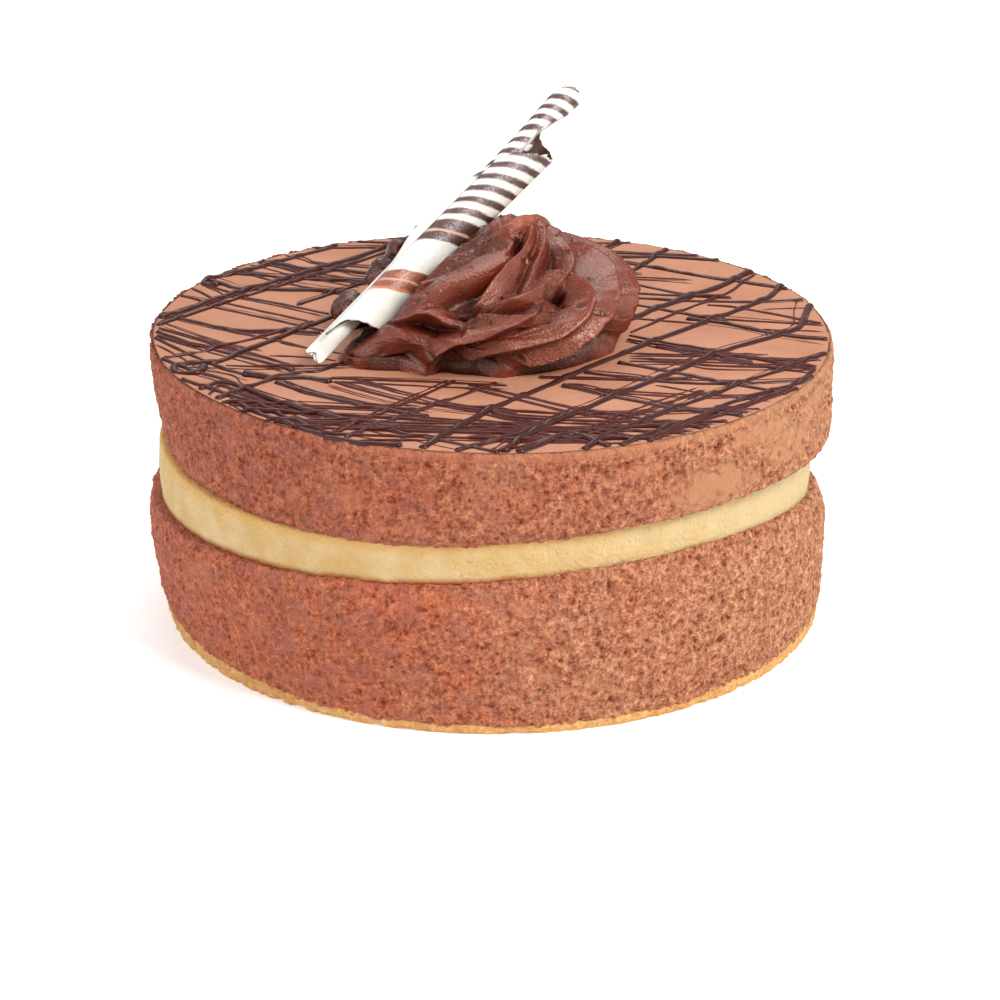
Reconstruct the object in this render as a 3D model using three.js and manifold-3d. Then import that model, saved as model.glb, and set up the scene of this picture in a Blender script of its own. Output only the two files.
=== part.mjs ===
// A six-inch chocolate mousse cake: a base of sponge, mousse, a band of sponge and mousse again,
// with chocolate drizzled over the top, a piped frosting swirl and a rolled chocolate scroll
// pressed into the swirl. Millimetres, +Z up, origin at the centre of the underside.
// Bearings are in degrees, anticlockwise from +X seen from above, so the front is at 270.

import * as THREE from 'three';
import { mergeVertices } from 'three/addons/utils/BufferGeometryUtils.js';
import Module from 'manifold-3d';

const wasm = await Module();
wasm.setup();

// ---- driving dimensions ----

const CAKE_RADIUS = 75;
const CAKE_HEIGHT = 64;
const LAYER_GAP = 0.3;
const DIVISIONS = 90;
const RIM_ROUND = 1.6;

const SWIRL_CENTRE = new THREE.Vector2(-1, 2);
const SWIRL_PEAK_SHIFT = new THREE.Vector2(5, -1);
const LOWER_COIL = { pathRadius: 22.5, height: 8.6, ropeRadius: 11.6 };
const UPPER_COIL = { pathRadius: 10, height: 18, ropeRadius: 9.5 };
const PEAK = { pathRadius: 2.5, height: 25, ropeRadius: 3.2 };
const ROPE_START = 150;
const ROPE_TURNS = 1.9;
const ROPE_STEP = 15;
const BLUNT_START = 0.8;
const START_TURNS = 0.12;
const CLIMB_FROM = 0.7;
const CLIMB_TO = 1.35;
const FINISH_FROM = 1.3;
const STAR_POINTS = 6;
const STAR_CORNERS = 4 * STAR_POINTS;
const STAR_PHASE = 70;
const FLUTE_DEPTH = 0.26;
const INNERMOST = 0.4;
const LEAN_STARTS_AT = 6;
const HEART_HEIGHT = 19;
const HEART_FOOT_RADIUS = 16;
const HEART_TOP_RADIUS = 8;

const SCROLL_FOOT = new THREE.Vector3(-38.4, -22.3, 66.3);
const SCROLL_TIP = new THREE.Vector3(17.9, 46.5, 106.9);
const SHEET_THICKNESS = 0.8;
const CORE_RADIUS = 2.1;
const CORE_FLARE = 0.15;
const TIP_FLARE = 0.4;
const TIP_FLARES_FROM = 0.8;
const WRAP_RADIUS = 4.25;
const WRAP_FLARE = 0.95;
const WRAP_SHIFT = 1.37;
const WRAP_SHIFT_GROWS = 1.16;
const SCROLL_CLEARANCE = 0.35;

const DRIZZLE_HEIGHT = 1.3;
const DRIZZLE_SINK = 0.4;
const RIM_MARGIN = 1.2;
const TRIM_BELOW = 2;
const TRIM_ABOVE = 4;

const FINEST_DETAIL = 0.02;

// ---- small helpers ----

const radians = THREE.MathUtils.degToRad;
const { lerp, smoothstep } = THREE.MathUtils;

// A value that rises and falls round the cake: its mean, then [amplitude, bearing, waves] terms.
function wave(mean, ...terms) {
  return (bearing) => terms.reduce(
    (sum, [amplitude, phase, count]) => sum + amplitude * Math.cos(count * radians(bearing - phase)),
    mean);
}

// A repeatable uneven number from -1 to 1 for a place in a grid.
function uneven(i, j, seed) {
  const mixed = Math.sin(i * 127.1 + j * 311.7 + seed * 74.7) * 43758.5453;
  return 2 * (mixed - Math.floor(mixed)) - 1;
}

function polar(radius, bearing, z) {
  return new THREE.Vector3(radius * Math.cos(radians(bearing)), radius * Math.sin(radians(bearing)), z);
}

function meanOf(points) {
  const sum = points.reduce((total, p) => total.add(p), new THREE.Vector3());
  return sum.divideScalar(points.length);
}

// Closed loft through rings of points, each ring anticlockwise seen against the direction of travel.
// An end is closed by a fan to a given point, or by a flat polygon where none is given.
function loft(rings, startPoint, endPoint) {
  const count = rings[0].length;
  const points = rings.flat();
  const triangles = [];
  for (let k = 0; k + 1 < rings.length; k += 1) {
    for (let i = 0; i < count; i += 1) {
      const a = k * count + i;
      const b = k * count + (i + 1) % count;
      triangles.push([a, b, b + count], [a, b + count, a + count]);
    }
  }
  closeEnd(points, triangles, 0, count, startPoint, true);
  closeEnd(points, triangles, (rings.length - 1) * count, count, endPoint, false);
  return meshOf(points, triangles);
}

function closeEnd(points, triangles, first, count, centre, facesBack) {
  const add = (a, b, c) => triangles.push(facesBack ? [a, c, b] : [a, b, c]);
  if (centre) {
    points.push(centre);
    for (let i = 0; i < count; i += 1) {
      add(points.length - 1, first + i, first + (i + 1) % count);
    }
    return;
  }
  const outline = points.slice(first, first + count).map((p) => new THREE.Vector2(p.x, p.y));
  for (const [a, b, c] of THREE.ShapeUtils.triangulateShape(outline, [])) {
    add(first + a, first + b, first + c);
  }
}

function meshOf(points, triangles) {
  const geometry = new THREE.BufferGeometry();
  const places = new Float32Array(points.flatMap((p) => [p.x, p.y, p.z]));
  geometry.setAttribute('position', new THREE.BufferAttribute(places, 3));
  geometry.setIndex(triangles.flat());
  return geometry;
}

function toSolid(geometry) {
  const bare = geometry.clone();
  bare.deleteAttribute('normal');
  bare.deleteAttribute('uv');
  const merged = mergeVertices(bare, 1e-4);
  return new wasm.Manifold(new wasm.Mesh({
    numProp: 3,
    vertProperties: new Float32Array(merged.attributes.position.array),
    triVerts: new Uint32Array(merged.index.array),
  }));
}

function toGeometry(solid) {
  const { vertProperties, triVerts } = solid.getMesh();
  const geometry = new THREE.BufferGeometry();
  geometry.setAttribute('position', new THREE.BufferAttribute(new Float32Array(vertProperties), 3));
  geometry.setIndex(new THREE.BufferAttribute(new Uint32Array(triVerts), 1));
  return geometry;
}

function largestBody(solid) {
  const bodies = solid.decompose();
  return bodies.reduce((best, body) => (body.volume() > best.volume() ? body : best), bodies[0]);
}

// A cut leaves slivers that hang on by a corner: merging its corners frees them, to be dropped.
function withoutScraps(solid) {
  return largestBody(toSolid(toGeometry(largestBody(solid.simplify(FINEST_DETAIL)))));
}

function fuse(solids) {
  return solids.reduce((all, solid) => all.add(solid));
}

// ---- the layers ----

// Where each layer ends, as heights round the side. The band of sponge dips at the left.
const baseTop = wave(2.9, [1.0, 10, 2]);
const bandBottom = wave(31.0, [3.6, -73, 1], [3.0, -69, 2], [1.2, -34, 3]);
const bandTop = wave(43.6, [1.2, -61, 1], [1.7, -50, 2], [0.6, -45, 3]);

// How far each edge stands out from the axis.
const rimRadius = wave(75.4, [1.8, 75, 1], [0.9, 3, 2], [0.9, 40, 3]);
const upperFootRadius = wave(75.2, [1.4, 10, 1], [0.3, 90, 2]);
const bandRadius = wave(73.8, [1.3, 204, 1], [0.2, -69, 2]);
const shoulderRadius = wave(76.0, [0.4, 63, 1], [0.6, -7, 2], [0.3, 14, 3]);
const footRadius = wave(73.9, [0.8, 37, 1], [0.7, 5, 2], [0.3, 17, 3]);

// A level between two layers: its height at the side, ruled straight in to its mean at the axis.
function levelAt(edgeHeight, meanHeight, radius, bearing) {
  return meanHeight + (edgeHeight(bearing) - meanHeight) * radius / CAKE_RADIUS;
}

// One layer of the cake. A course is its share of the layer's height, its radius round the side,
// and how many millimetres its crumb stands in or out.
function layer({ bottom, bottomMean, top, topMean, courses, seed }) {
  const rings = courses.map(([share, radiusAt, roughness], k) => {
    const ring = [];
    for (let i = 0; i < DIVISIONS; i += 1) {
      const bearing = 360 * i / DIVISIONS;
      const radius = radiusAt(bearing) + roughness * uneven(i, k, seed);
      const low = levelAt(bottom, bottomMean, radius, bearing);
      const high = levelAt(top, topMean, radius, bearing);
      ring.push(polar(radius, bearing, lerp(low, high, share)));
    }
    return ring;
  });
  const isFlat = (edge) => edge === flatBottom || edge === flatTop;
  const middle = (edge, height) => (isFlat(edge) ? undefined : new THREE.Vector3(0, 0, height));
  return loft(rings, middle(bottom, bottomMean), middle(top, topMean));
}

const flatBottom = () => 0;
const flatTop = () => CAKE_HEIGHT;
const raised = (level) => (bearing) => level(bearing) + LAYER_GAP;
const between = (a, b, share) => (bearing) => lerp(a(bearing), b(bearing), share);
const inset = (radiusAt, depth) => (bearing) => radiusAt(bearing) - depth;

const BASE_MEAN = 2.9;
const BAND_BOTTOM_MEAN = 31.0;
const BAND_TOP_MEAN = 43.6;

function baseSponge() {
  return layer({
    bottom: flatBottom,
    bottomMean: 0,
    top: baseTop,
    topMean: BASE_MEAN,
    courses: [
      [0, inset(footRadius, 0.9), 0.5],
      [0.5, inset(footRadius, 0.1), 0.4],
      [1, footRadius, 0.2],
    ],
    seed: 1,
  });
}

function lowerMousse() {
  return layer({
    bottom: raised(baseTop),
    bottomMean: BASE_MEAN + LAYER_GAP,
    top: bandBottom,
    topMean: BAND_BOTTOM_MEAN,
    courses: [
      [0, footRadius, 0.2],
      [0.14, between(footRadius, shoulderRadius, 0.3), 0.5],
      [0.38, between(footRadius, shoulderRadius, 0.65), 0.6],
      [0.62, between(footRadius, shoulderRadius, 0.9), 0.6],
      [0.86, shoulderRadius, 0.5],
      [1, inset(shoulderRadius, 0.9), 0.2],
    ],
    seed: 2,
  });
}

function bandSponge() {
  return layer({
    bottom: raised(bandBottom),
    bottomMean: BAND_BOTTOM_MEAN + LAYER_GAP,
    top: bandTop,
    topMean: BAND_TOP_MEAN,
    courses: [
      [0, inset(bandRadius, 0.4), 0.15],
      [0.3, bandRadius, 0.25],
      [0.7, bandRadius, 0.25],
      [1, inset(bandRadius, 0.3), 0.15],
    ],
    seed: 3,
  });
}

function upperMousse() {
  const roundShare = 1 - RIM_ROUND / (CAKE_HEIGHT - BAND_TOP_MEAN);
  return layer({
    bottom: raised(bandTop),
    bottomMean: BAND_TOP_MEAN + LAYER_GAP,
    top: flatTop,
    topMean: CAKE_HEIGHT,
    courses: [
      [0, inset(upperFootRadius, 0.9), 0.2],
      [0.12, upperFootRadius, 0.5],
      [0.42, between(upperFootRadius, rimRadius, 0.5), 0.6],
      [0.7, between(upperFootRadius, rimRadius, 0.9), 0.5],
      [roundShare, rimRadius, 0.15],
      [1, inset(rimRadius, RIM_ROUND), 0],
    ],
    seed: 4,
  });
}

// ---- the drizzle ----

// A stroke runs from one place on the top to another, in millimetres from the axis, with its
// width and how far its middle bows to the left of its travel.
const DIAGONAL_STROKES = [
  { from: [-67, 35], to: [-37.5, 62], width: 2.4, bow: 0.8 },
  { from: [-72, 11], to: [-20, 71], width: 2.4, bow: 1.0 },
  { from: [-70, 8.5], to: [-15, 70], width: 1.8, bow: 0.6 },
  { from: [-65, -25], to: [10, 71], width: 2.4, bow: 0 },
  { from: [-70, -17], to: [-43, 4], width: 1.2, bow: -1.0 },
  { from: [-15, 38], to: [16, 70], width: 1.6, bow: 0.5 },
  { from: [5, 34], to: [29, 67], width: 2.0, bow: 0.5 },
  { from: [-32.5, -63], to: [-7, -30], width: 1.2, bow: 0 },
  { from: [-29.5, -64], to: [2, -32], width: 1.3, bow: 0 },
  { from: [-13, -69], to: [66, 33], width: 2.2, bow: -1.5 },
  { from: [-3, -70], to: [8, -61], width: 1.8, bow: 0 },
  { from: [3, -71], to: [73, 13], width: 2.2, bow: -1.8 },
  { from: [9, -69], to: [17, -62], width: 2.0, bow: 0.6 },
  { from: [21, -67], to: [73, -12], width: 2.0, bow: -0.5 },
  { from: [31, -64], to: [70, -25], width: 2.4, bow: -1.5 },
  { from: [40, -57], to: [66, -31], width: 1.8, bow: -1.5 },
  { from: [32, 12], to: [59, 44], width: 2.6, bow: 0.4 },
  { from: [31, 2], to: [60, 41], width: 1.4, bow: 0 },
  { from: [33, 46], to: [40.5, 59], width: 2.2, bow: 0 },
];

const CROSS_STROKES = [
  { from: [-72, 23], to: [-37, 3], width: 1.4, bow: 0 },
  { from: [-74, 9], to: [-34, 0], width: 1.6, bow: -3 },
  { from: [-75, 0], to: [-46, -24], width: 1.4, bow: -1.5 },
  { from: [-74, -5], to: [-30, -33], width: 1.4, bow: 0.5 },
  { from: [-67, -25], to: [20, -57], width: 1.6, bow: -3 },
  { from: [-58, -36], to: [26, -62], width: 1.8, bow: -4 },
  { from: [-52, -44], to: [-10, -69], width: 1.6, bow: -1.5 },
  { from: [-36, -30], to: [62, -52], width: 1.6, bow: 1 },
  { from: [-10, -33], to: [60, -30], width: 1.3, bow: -2 },
  { from: [8, -32], to: [50, -51], width: 1.8, bow: -1 },
  { from: [23, -24], to: [66, -32], width: 1.6, bow: -2 },
  { from: [32, 0], to: [72, -19], width: 1.4, bow: 0.6 },
  { from: [33, 23], to: [75, -2], width: 1.8, bow: -1.5 },
  { from: [33, 29], to: [70, 26], width: 1.8, bow: -1.5 },
  { from: [33, 48], to: [65, 37], width: 1.6, bow: -1 },
  { from: [-69, 38], to: [-30, 27], width: 1.6, bow: -1.5 },
  { from: [-62, 45], to: [33, 35], width: 1.4, bow: -1 },
  { from: [-40, 60], to: [45, 56], width: 1.8, bow: -2 },
  { from: [-52, 54], to: [36, 45], width: 1.4, bow: 2 },
];

const STROKE_SPACING = 14;
const SWIRL_KEEP_OUT = 33.5;

// A bead's section, as shares of its width to the side and of its height upwards.
const BEAD_SECTION = [[0.5, 0], [0.45, 0.62], [0, 1], [-0.45, 0.62], [-0.5, 0]];

// A low bead of chocolate with a rounded back, sunk a little in the mousse it lies on.
function bead({ from, to, width, bow }) {
  const start = new THREE.Vector2(...from);
  const end = new THREE.Vector2(...to);
  const along = end.clone().sub(start);
  const left = new THREE.Vector2(-along.y, along.x).normalize();
  const steps = Math.max(2, Math.round(along.length() / STROKE_SPACING));
  const crown = DRIZZLE_HEIGHT * Math.sqrt(width / 2);
  const rings = [];
  for (let k = 0; k <= steps; k += 1) {
    const share = k / steps;
    const centre = start.clone().addScaledVector(along, share);
    centre.addScaledVector(left, bow * 4 * share * (1 - share));
    rings.push(BEAD_SECTION.map(([side, rise]) => {
      const place = centre.clone().addScaledVector(left, side * width);
      return new THREE.Vector3(place.x, place.y, CAKE_HEIGHT + lerp(-DRIZZLE_SINK, crown, rise));
    }));
  }
  return loft(rings, meanOf(rings[0]), meanOf(rings.at(-1)));
}

// A straight-sided plug, used to trim the drizzle to the top and to keep it off the swirl.
function plug(radiusAt, centre, low, high) {
  const ring = (z) => Array.from({ length: DIVISIONS / 2 }, (_, i) => {
    const bearing = 720 * i / DIVISIONS;
    return polar(radiusAt(bearing), bearing, z).add(new THREE.Vector3(centre.x, centre.y, 0));
  });
  return loft([ring(low), ring(high)]);
}

function drizzledMousse(scrollRoom) {
  const beads = [...DIAGONAL_STROKES, ...CROSS_STROKES].map((stroke) => toSolid(bead(stroke)));
  const low = CAKE_HEIGHT - TRIM_BELOW;
  const high = CAKE_HEIGHT + TRIM_ABOVE;
  const onTop = toSolid(plug(inset(rimRadius, RIM_ROUND + RIM_MARGIN), new THREE.Vector2(), low, high));
  const underSwirl = toSolid(plug(() => SWIRL_KEEP_OUT, SWIRL_CENTRE, low - 1, high + 1));
  const drizzle = fuse(beads).intersect(onTop).subtract(underSwirl).subtract(scrollRoom);
  return withoutScraps(toSolid(upperMousse()).add(drizzle));
}

// ---- the scroll ----

// Its own directions: along from foot to tip, across to the right, and out towards the front.
const scrollAlong = SCROLL_TIP.clone().sub(SCROLL_FOOT).normalize();
const scrollLength = SCROLL_TIP.distanceTo(SCROLL_FOOT);
const scrollAcross = scrollAlong.clone().cross(new THREE.Vector3(0, -0.927, 0.377)).normalize();
const scrollOut = scrollAcross.clone().cross(scrollAlong).normalize();

// The sheet is wound inwards from its free edge: a loose wrap, then a tight core. Turns are in
// degrees round the roll, from across towards out.
const FREE_EDGE = 137;
const SPIRAL_DEGREES = 677;
const WRAP_ENDS_AT = 172;
const CORE_STARTS_AT = 332;
const CORE_TIGHTENS = 1.0;
const SHEET_COLUMNS = 27;
const SCROLL_STEPS = 15;

// Where the wrap starts and stops along the scroll, as [degrees wound, distance] pairs: a slanting
// mouth at the foot, and at the other end a slope that runs up into a spike at the back.
const MOUTH = [[0, 2.5], [5, 7], [17, 9.7], [57, 12.1], [79, 13], [118, 15.4], [142, 17], [170, 13],
  [227, 6], [300, 3]];
const WRAP_END = [[12, 69.3], [25, 71.8], [47, 73.5], [68, 75.6], [88, 77.5], [130, 79.8],
  [173, 83.3], [240, 88], [275, 84]];

// The core stops short, but for the curl at its tip, which twists open as it goes.
const CORE_FOOT_WAVE = { depth: 0.6, waves: 3 };
const CORE_END = 80;
const TIP_ARC = { from: 55, fullFrom: 75, fullTo: 250, to: 275 };
const TIP_TWIST = { degrees: 80, from: 82, to: 97 };
const RAGGED_EDGE = 0.4;

function woundIn(wound) {
  return smoothstep(wound, WRAP_ENDS_AT, CORE_STARTS_AT);
}

function stationAt(stations, wound) {
  const next = stations.findIndex(([at]) => at > wound);
  if (next === 0) return stations[0][1];
  if (next < 0) return stations.at(-1)[1];
  const [[a, low], [b, high]] = stations.slice(next - 1, next + 1);
  return lerp(low, high, (wound - a) / (b - a));
}

function wrapShift(distance) {
  return WRAP_SHIFT + WRAP_SHIFT_GROWS * distance / scrollLength;
}

// The wrap's centre stands to the right of the core's, so that both touch at the left.
function scrollPoint(wound, distance, offset) {
  const share = distance / scrollLength;
  const inward = woundIn(wound);
  const tightening = CORE_TIGHTENS * smoothstep(wound, CORE_STARTS_AT, SPIRAL_DEGREES);
  const flare = CORE_FLARE * share + TIP_FLARE * smoothstep(share, TIP_FLARES_FROM, 1);
  const core = CORE_RADIUS + flare - tightening;
  const radius = lerp(WRAP_RADIUS + WRAP_FLARE * share, core, inward) + offset;
  const twist = TIP_TWIST.degrees * inward * smoothstep(distance, TIP_TWIST.from, TIP_TWIST.to);
  const turn = radians(FREE_EDGE - wound - twist);
  return SCROLL_FOOT.clone()
    .addScaledVector(scrollAlong, distance)
    .addScaledVector(scrollAcross, wrapShift(distance) * (1 - inward) + radius * Math.cos(turn))
    .addScaledVector(scrollOut, radius * Math.sin(turn));
}

function sheetStart(wound) {
  const foot = CORE_FOOT_WAVE.depth * Math.sin(radians(CORE_FOOT_WAVE.waves * wound));
  return lerp(stationAt(MOUTH, wound), foot, woundIn(wound));
}

function sheetEnd(wound) {
  const turn = THREE.MathUtils.euclideanModulo(FREE_EDGE - wound, 360);
  const rises = smoothstep(turn, TIP_ARC.from, TIP_ARC.fullFrom);
  const falls = smoothstep(turn, TIP_ARC.fullTo, TIP_ARC.to);
  const coreEnd = lerp(CORE_END, scrollLength, rises * (1 - falls));
  return lerp(stationAt(WRAP_END, wound), coreEnd, woundIn(wound));
}

// One sheet of chocolate, as a grid of its outer face and a grid of its inner face.
function chocolateScroll() {
  const columns = SHEET_COLUMNS + 1;
  const rows = SCROLL_STEPS + 1;
  const points = [];
  for (const offset of [SHEET_THICKNESS / 2, -SHEET_THICKNESS / 2]) {
    for (let j = 0; j < columns; j += 1) {
      const wound = SPIRAL_DEGREES * j / SHEET_COLUMNS;
      for (let i = 0; i < rows; i += 1) {
        const isEdge = i === 0 || i === SCROLL_STEPS;
        const rag = isEdge ? RAGGED_EDGE * uneven(i, j, 5) : 0;
        const distance = lerp(sheetStart(wound), sheetEnd(wound), i / SCROLL_STEPS) + rag;
        points.push(scrollPoint(wound, distance, offset));
      }
    }
  }
  const outer = (i, j) => j * rows + i;
  const inner = (i, j) => columns * rows + outer(i, j);
  const triangles = [];
  const quad = (a, b, c, d) => triangles.push([a, b, c], [a, c, d]);
  for (let j = 0; j + 1 < columns; j += 1) {
    for (let i = 0; i < SCROLL_STEPS; i += 1) {
      quad(outer(i, j), outer(i, j + 1), outer(i + 1, j + 1), outer(i + 1, j));
      quad(inner(i, j), inner(i + 1, j), inner(i + 1, j + 1), inner(i, j + 1));
    }
    quad(outer(0, j), inner(0, j), inner(0, j + 1), outer(0, j + 1));
    quad(outer(SCROLL_STEPS, j), outer(SCROLL_STEPS, j + 1), inner(SCROLL_STEPS, j + 1),
      inner(SCROLL_STEPS, j));
  }
  for (let i = 0; i < SCROLL_STEPS; i += 1) {
    quad(outer(i, 0), outer(i + 1, 0), inner(i + 1, 0), inner(i, 0));
    quad(outer(i, columns - 1), inner(i, columns - 1), inner(i + 1, columns - 1),
      outer(i + 1, columns - 1));
  }
  return toSolid(meshOf(points, triangles));
}

const TROUGH_OPENING = 40;
const TROUGH_CORNERS = 12;
const TROUGH_STATIONS = [-3, 20, 50, scrollLength - 10];

// The room that the scroll takes: a round trough, open to the side it was pressed in from.
function scrollRoom() {
  const rings = TROUGH_STATIONS.map((distance) => {
    const outside = WRAP_RADIUS + WRAP_FLARE * distance / scrollLength + SHEET_THICKNESS / 2;
    const radius = outside + SCROLL_CLEARANCE;
    const place = (side, out) => SCROLL_FOOT.clone()
      .addScaledVector(scrollAlong, distance)
      .addScaledVector(scrollAcross, wrapShift(distance) + side)
      .addScaledVector(scrollOut, out);
    const ring = [place(-radius, TROUGH_OPENING), place(radius, TROUGH_OPENING)];
    for (let k = 0; k <= TROUGH_CORNERS; k += 1) {
      const turn = -Math.PI * k / TROUGH_CORNERS;
      ring.push(place(radius * Math.cos(turn), radius * Math.sin(turn)));
    }
    return ring;
  });
  return toSolid(loft(rings, meanOf(rings[0]), meanOf(rings.at(-1))));
}

// ---- the frosting swirl ----

// The rope of frosting lies in one flat coil, then climbs inwards to the peak.
function ropeAt(turns) {
  const climb = smoothstep(turns, CLIMB_FROM, CLIMB_TO);
  const finish = smoothstep(turns, FINISH_FROM, ROPE_TURNS);
  const start = smoothstep(turns, 0, START_TURNS);
  const at = (size) => lerp(lerp(LOWER_COIL[size], UPPER_COIL[size], climb), PEAK[size], finish);
  return {
    pathRadius: at('pathRadius'),
    height: at('height'),
    ropeRadius: at('ropeRadius') * lerp(BLUNT_START, 1, start),
  };
}

// A place in the swirl, by its distance and bearing from the middle and its height on the cake.
// The whole swirl leans more the higher it goes.
function swirlPoint(radius, bearing, height) {
  const place = polar(radius, bearing, CAKE_HEIGHT + height);
  const lean = smoothstep(height, LEAN_STARTS_AT, PEAK.height);
  place.x += SWIRL_CENTRE.x + SWIRL_PEAK_SHIFT.x * lean;
  place.y += SWIRL_CENTRE.y + SWIRL_PEAK_SHIFT.y * lean;
  return place;
}

// A star nozzle leaves sharp ridges with wide hollow flutes between them, and the star turns
// once for each turn of the coil.
function starRing(turns) {
  const { pathRadius, height, ropeRadius } = ropeAt(turns);
  const bearing = ROPE_START + 360 * turns;
  const ring = [];
  for (let i = 0; i < STAR_CORNERS; i += 1) {
    const turn = 360 * i / STAR_CORNERS;
    const angle = radians(turn + bearing + STAR_PHASE);
    const flute = Math.abs(Math.sin(radians(STAR_POINTS * turn / 2)));
    const reach = ropeRadius * (1 - FLUTE_DEPTH * Math.sqrt(flute));
    const radius = Math.max(pathRadius + reach * Math.cos(angle), INNERMOST);
    ring.push(swirlPoint(radius, bearing, height + reach * Math.sin(angle)));
  }
  return ring.reverse();
}

function rope(firstTurn, lastTurn) {
  const steps = Math.ceil((lastTurn - firstTurn) * 360 / ROPE_STEP);
  const rings = [];
  for (let k = 0; k <= steps; k += 1) {
    rings.push(starRing(lerp(firstTurn, lastTurn, k / steps)));
  }
  const middle = (turns) => {
    const { pathRadius, height } = ropeAt(turns);
    return swirlPoint(pathRadius, ROPE_START + 360 * turns, height);
  };
  return toSolid(loft(rings, middle(firstTurn), middle(lastTurn)));
}

// A rounded lump of frosting, longest along the scroll that pushed it aside.
function lump([x, y, z], length, width, height) {
  const geometry = new THREE.SphereGeometry(1, 10, 7);
  geometry.scale(height, width, length);
  const frame = new THREE.Matrix4().makeBasis(scrollOut, scrollAcross, scrollAlong);
  geometry.applyMatrix4(frame);
  geometry.translate(x, y, z);
  return toSolid(geometry);
}

const LUMPS = [
  { place: [-7, 5, 79], size: [17, 6, 8] },
  { place: [-31, 7, 69], size: [5, 4, 4] },
  { place: [-26, 15, 75], size: [4, 4, 4] },
  { place: [-22, 13, 80], size: [5, 4, 4.5] },
  { place: [-17, 13, 83], size: [4, 3.5, 3.5] },
];

// The coils close over the middle, so it is solid.
function heart() {
  const geometry = new THREE.CylinderGeometry(HEART_TOP_RADIUS, HEART_FOOT_RADIUS, HEART_HEIGHT, 20);
  geometry.rotateX(Math.PI / 2);
  geometry.translate(SWIRL_CENTRE.x, SWIRL_CENTRE.y, CAKE_HEIGHT + HEART_HEIGHT / 2);
  return toSolid(geometry);
}

function frostingSwirl(room) {
  const half = ROPE_TURNS / 2;
  const lumps = LUMPS.map(({ place, size }) => lump(place, ...size));
  const whole = fuse([heart(), rope(0, half), rope(half, ROPE_TURNS), ...lumps]);
  const above = toSolid(plug(() => CAKE_RADIUS, new THREE.Vector2(), CAKE_HEIGHT, 2 * CAKE_HEIGHT));
  return withoutScraps(whole.intersect(above).subtract(room));
}

// ---- the finished cake ----

const SPONGE = { color: 0xe6c882, roughness: 0.9 };
const BASE_SPONGE = { color: 0xe1a54b, roughness: 0.9 };
const MOUSSE = { color: 0xb4785a, roughness: 0.85 };
const FROSTING = { color: 0x6e3c2d, roughness: 0.4 };
const STRIPED_CHOCOLATE = { color: 0xf0eee6, roughness: 0.45 };

function piece(name, geometry, { color, roughness }) {
  const material = new THREE.MeshStandardMaterial({ color, roughness, metalness: 0 });
  const mesh = new THREE.Mesh(geometry, material);
  mesh.name = name;
  return mesh;
}

const room = scrollRoom();
const cake = new THREE.Group();
cake.add(
  piece('base_sponge', baseSponge(), BASE_SPONGE),
  piece('lower_mousse', lowerMousse(), MOUSSE),
  piece('middle_sponge', bandSponge(), SPONGE),
  piece('upper_mousse', toGeometry(drizzledMousse(room)), MOUSSE),
  piece('frosting_swirl', toGeometry(frostingSwirl(room)), FROSTING),
  piece('chocolate_scroll', toGeometry(chocolateScroll()), STRIPED_CHOCOLATE),
);

export default cake;
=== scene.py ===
"""The looks of a six-inch chocolate mousse cake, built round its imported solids.

A base of baked sponge carries two layers of aerated chocolate mousse with a band of pale sponge
between them. Chocolate is drizzled over the top in two passes, and a piped swirl of frosting holds
a rolled scroll of striped chocolate. Sizes here are in millimetres and bearings in degrees,
anticlockwise from +X seen from above, so the front is at 270. A mesh becomes metres when it is
finished.
"""

import logging
import math
import random
from dataclasses import dataclass, field
from enum import Enum
from typing import Callable, Sequence

import bmesh
import bpy
import numpy as np
from bmesh.types import BMesh, BMVert
from bpy.types import Material, Node, NodeSocket, NodeTree, Object
from mathutils import Matrix, Vector, noise


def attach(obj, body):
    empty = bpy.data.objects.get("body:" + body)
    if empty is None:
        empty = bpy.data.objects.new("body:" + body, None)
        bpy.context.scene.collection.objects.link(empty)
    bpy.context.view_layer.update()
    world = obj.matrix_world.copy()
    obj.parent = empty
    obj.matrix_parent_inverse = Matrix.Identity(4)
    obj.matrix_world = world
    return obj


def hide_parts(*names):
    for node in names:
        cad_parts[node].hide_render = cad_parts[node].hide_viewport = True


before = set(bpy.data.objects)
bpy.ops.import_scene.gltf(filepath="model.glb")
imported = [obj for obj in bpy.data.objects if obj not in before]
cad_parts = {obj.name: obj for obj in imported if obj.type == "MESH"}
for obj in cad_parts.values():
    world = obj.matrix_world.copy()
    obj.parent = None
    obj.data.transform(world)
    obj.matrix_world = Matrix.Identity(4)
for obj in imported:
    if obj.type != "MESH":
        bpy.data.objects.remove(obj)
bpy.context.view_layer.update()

LOG = logging.getLogger("mousse_cake")
MM = 0.001
BODY = "root"

CAKE_RADIUS = 75.0
CAKE_HEIGHT = 64.0
BEDDING = 0.15

MIX_A, MIX_B, MIX_RESULT = 6, 7, 2

Array = np.ndarray


# ---- numbers, noise and meshes ----


def smoothstep(value: Array | float, low: float, high: float) -> Array | float:
    """Rises smoothly from 0 at low to 1 at high, or falls where low is above high."""
    share = np.clip((np.asarray(value, float) - low) / (high - low), 0.0, 1.0)
    return share * share * (3.0 - 2.0 * share)


def mix(a: Array | float, b: Array | float, share: Array | float) -> Array | float:
    """Goes from a to b as share goes from 0 to 1."""
    return a + (b - a) * share


def bell(value: Array, middle: float, width: float) -> Array:
    """Gives 1 at the middle, falling away to 0 on both sides of it."""
    return np.exp(-(((value - middle) / width) ** 2))


def rounded(share: Array) -> Array:
    """Rises from 0 to 1 as share does, along a quarter of a circle."""
    return np.sqrt(np.clip(1 - (1 - np.clip(share, 0, 1)) ** 2, 0, 1))


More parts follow.
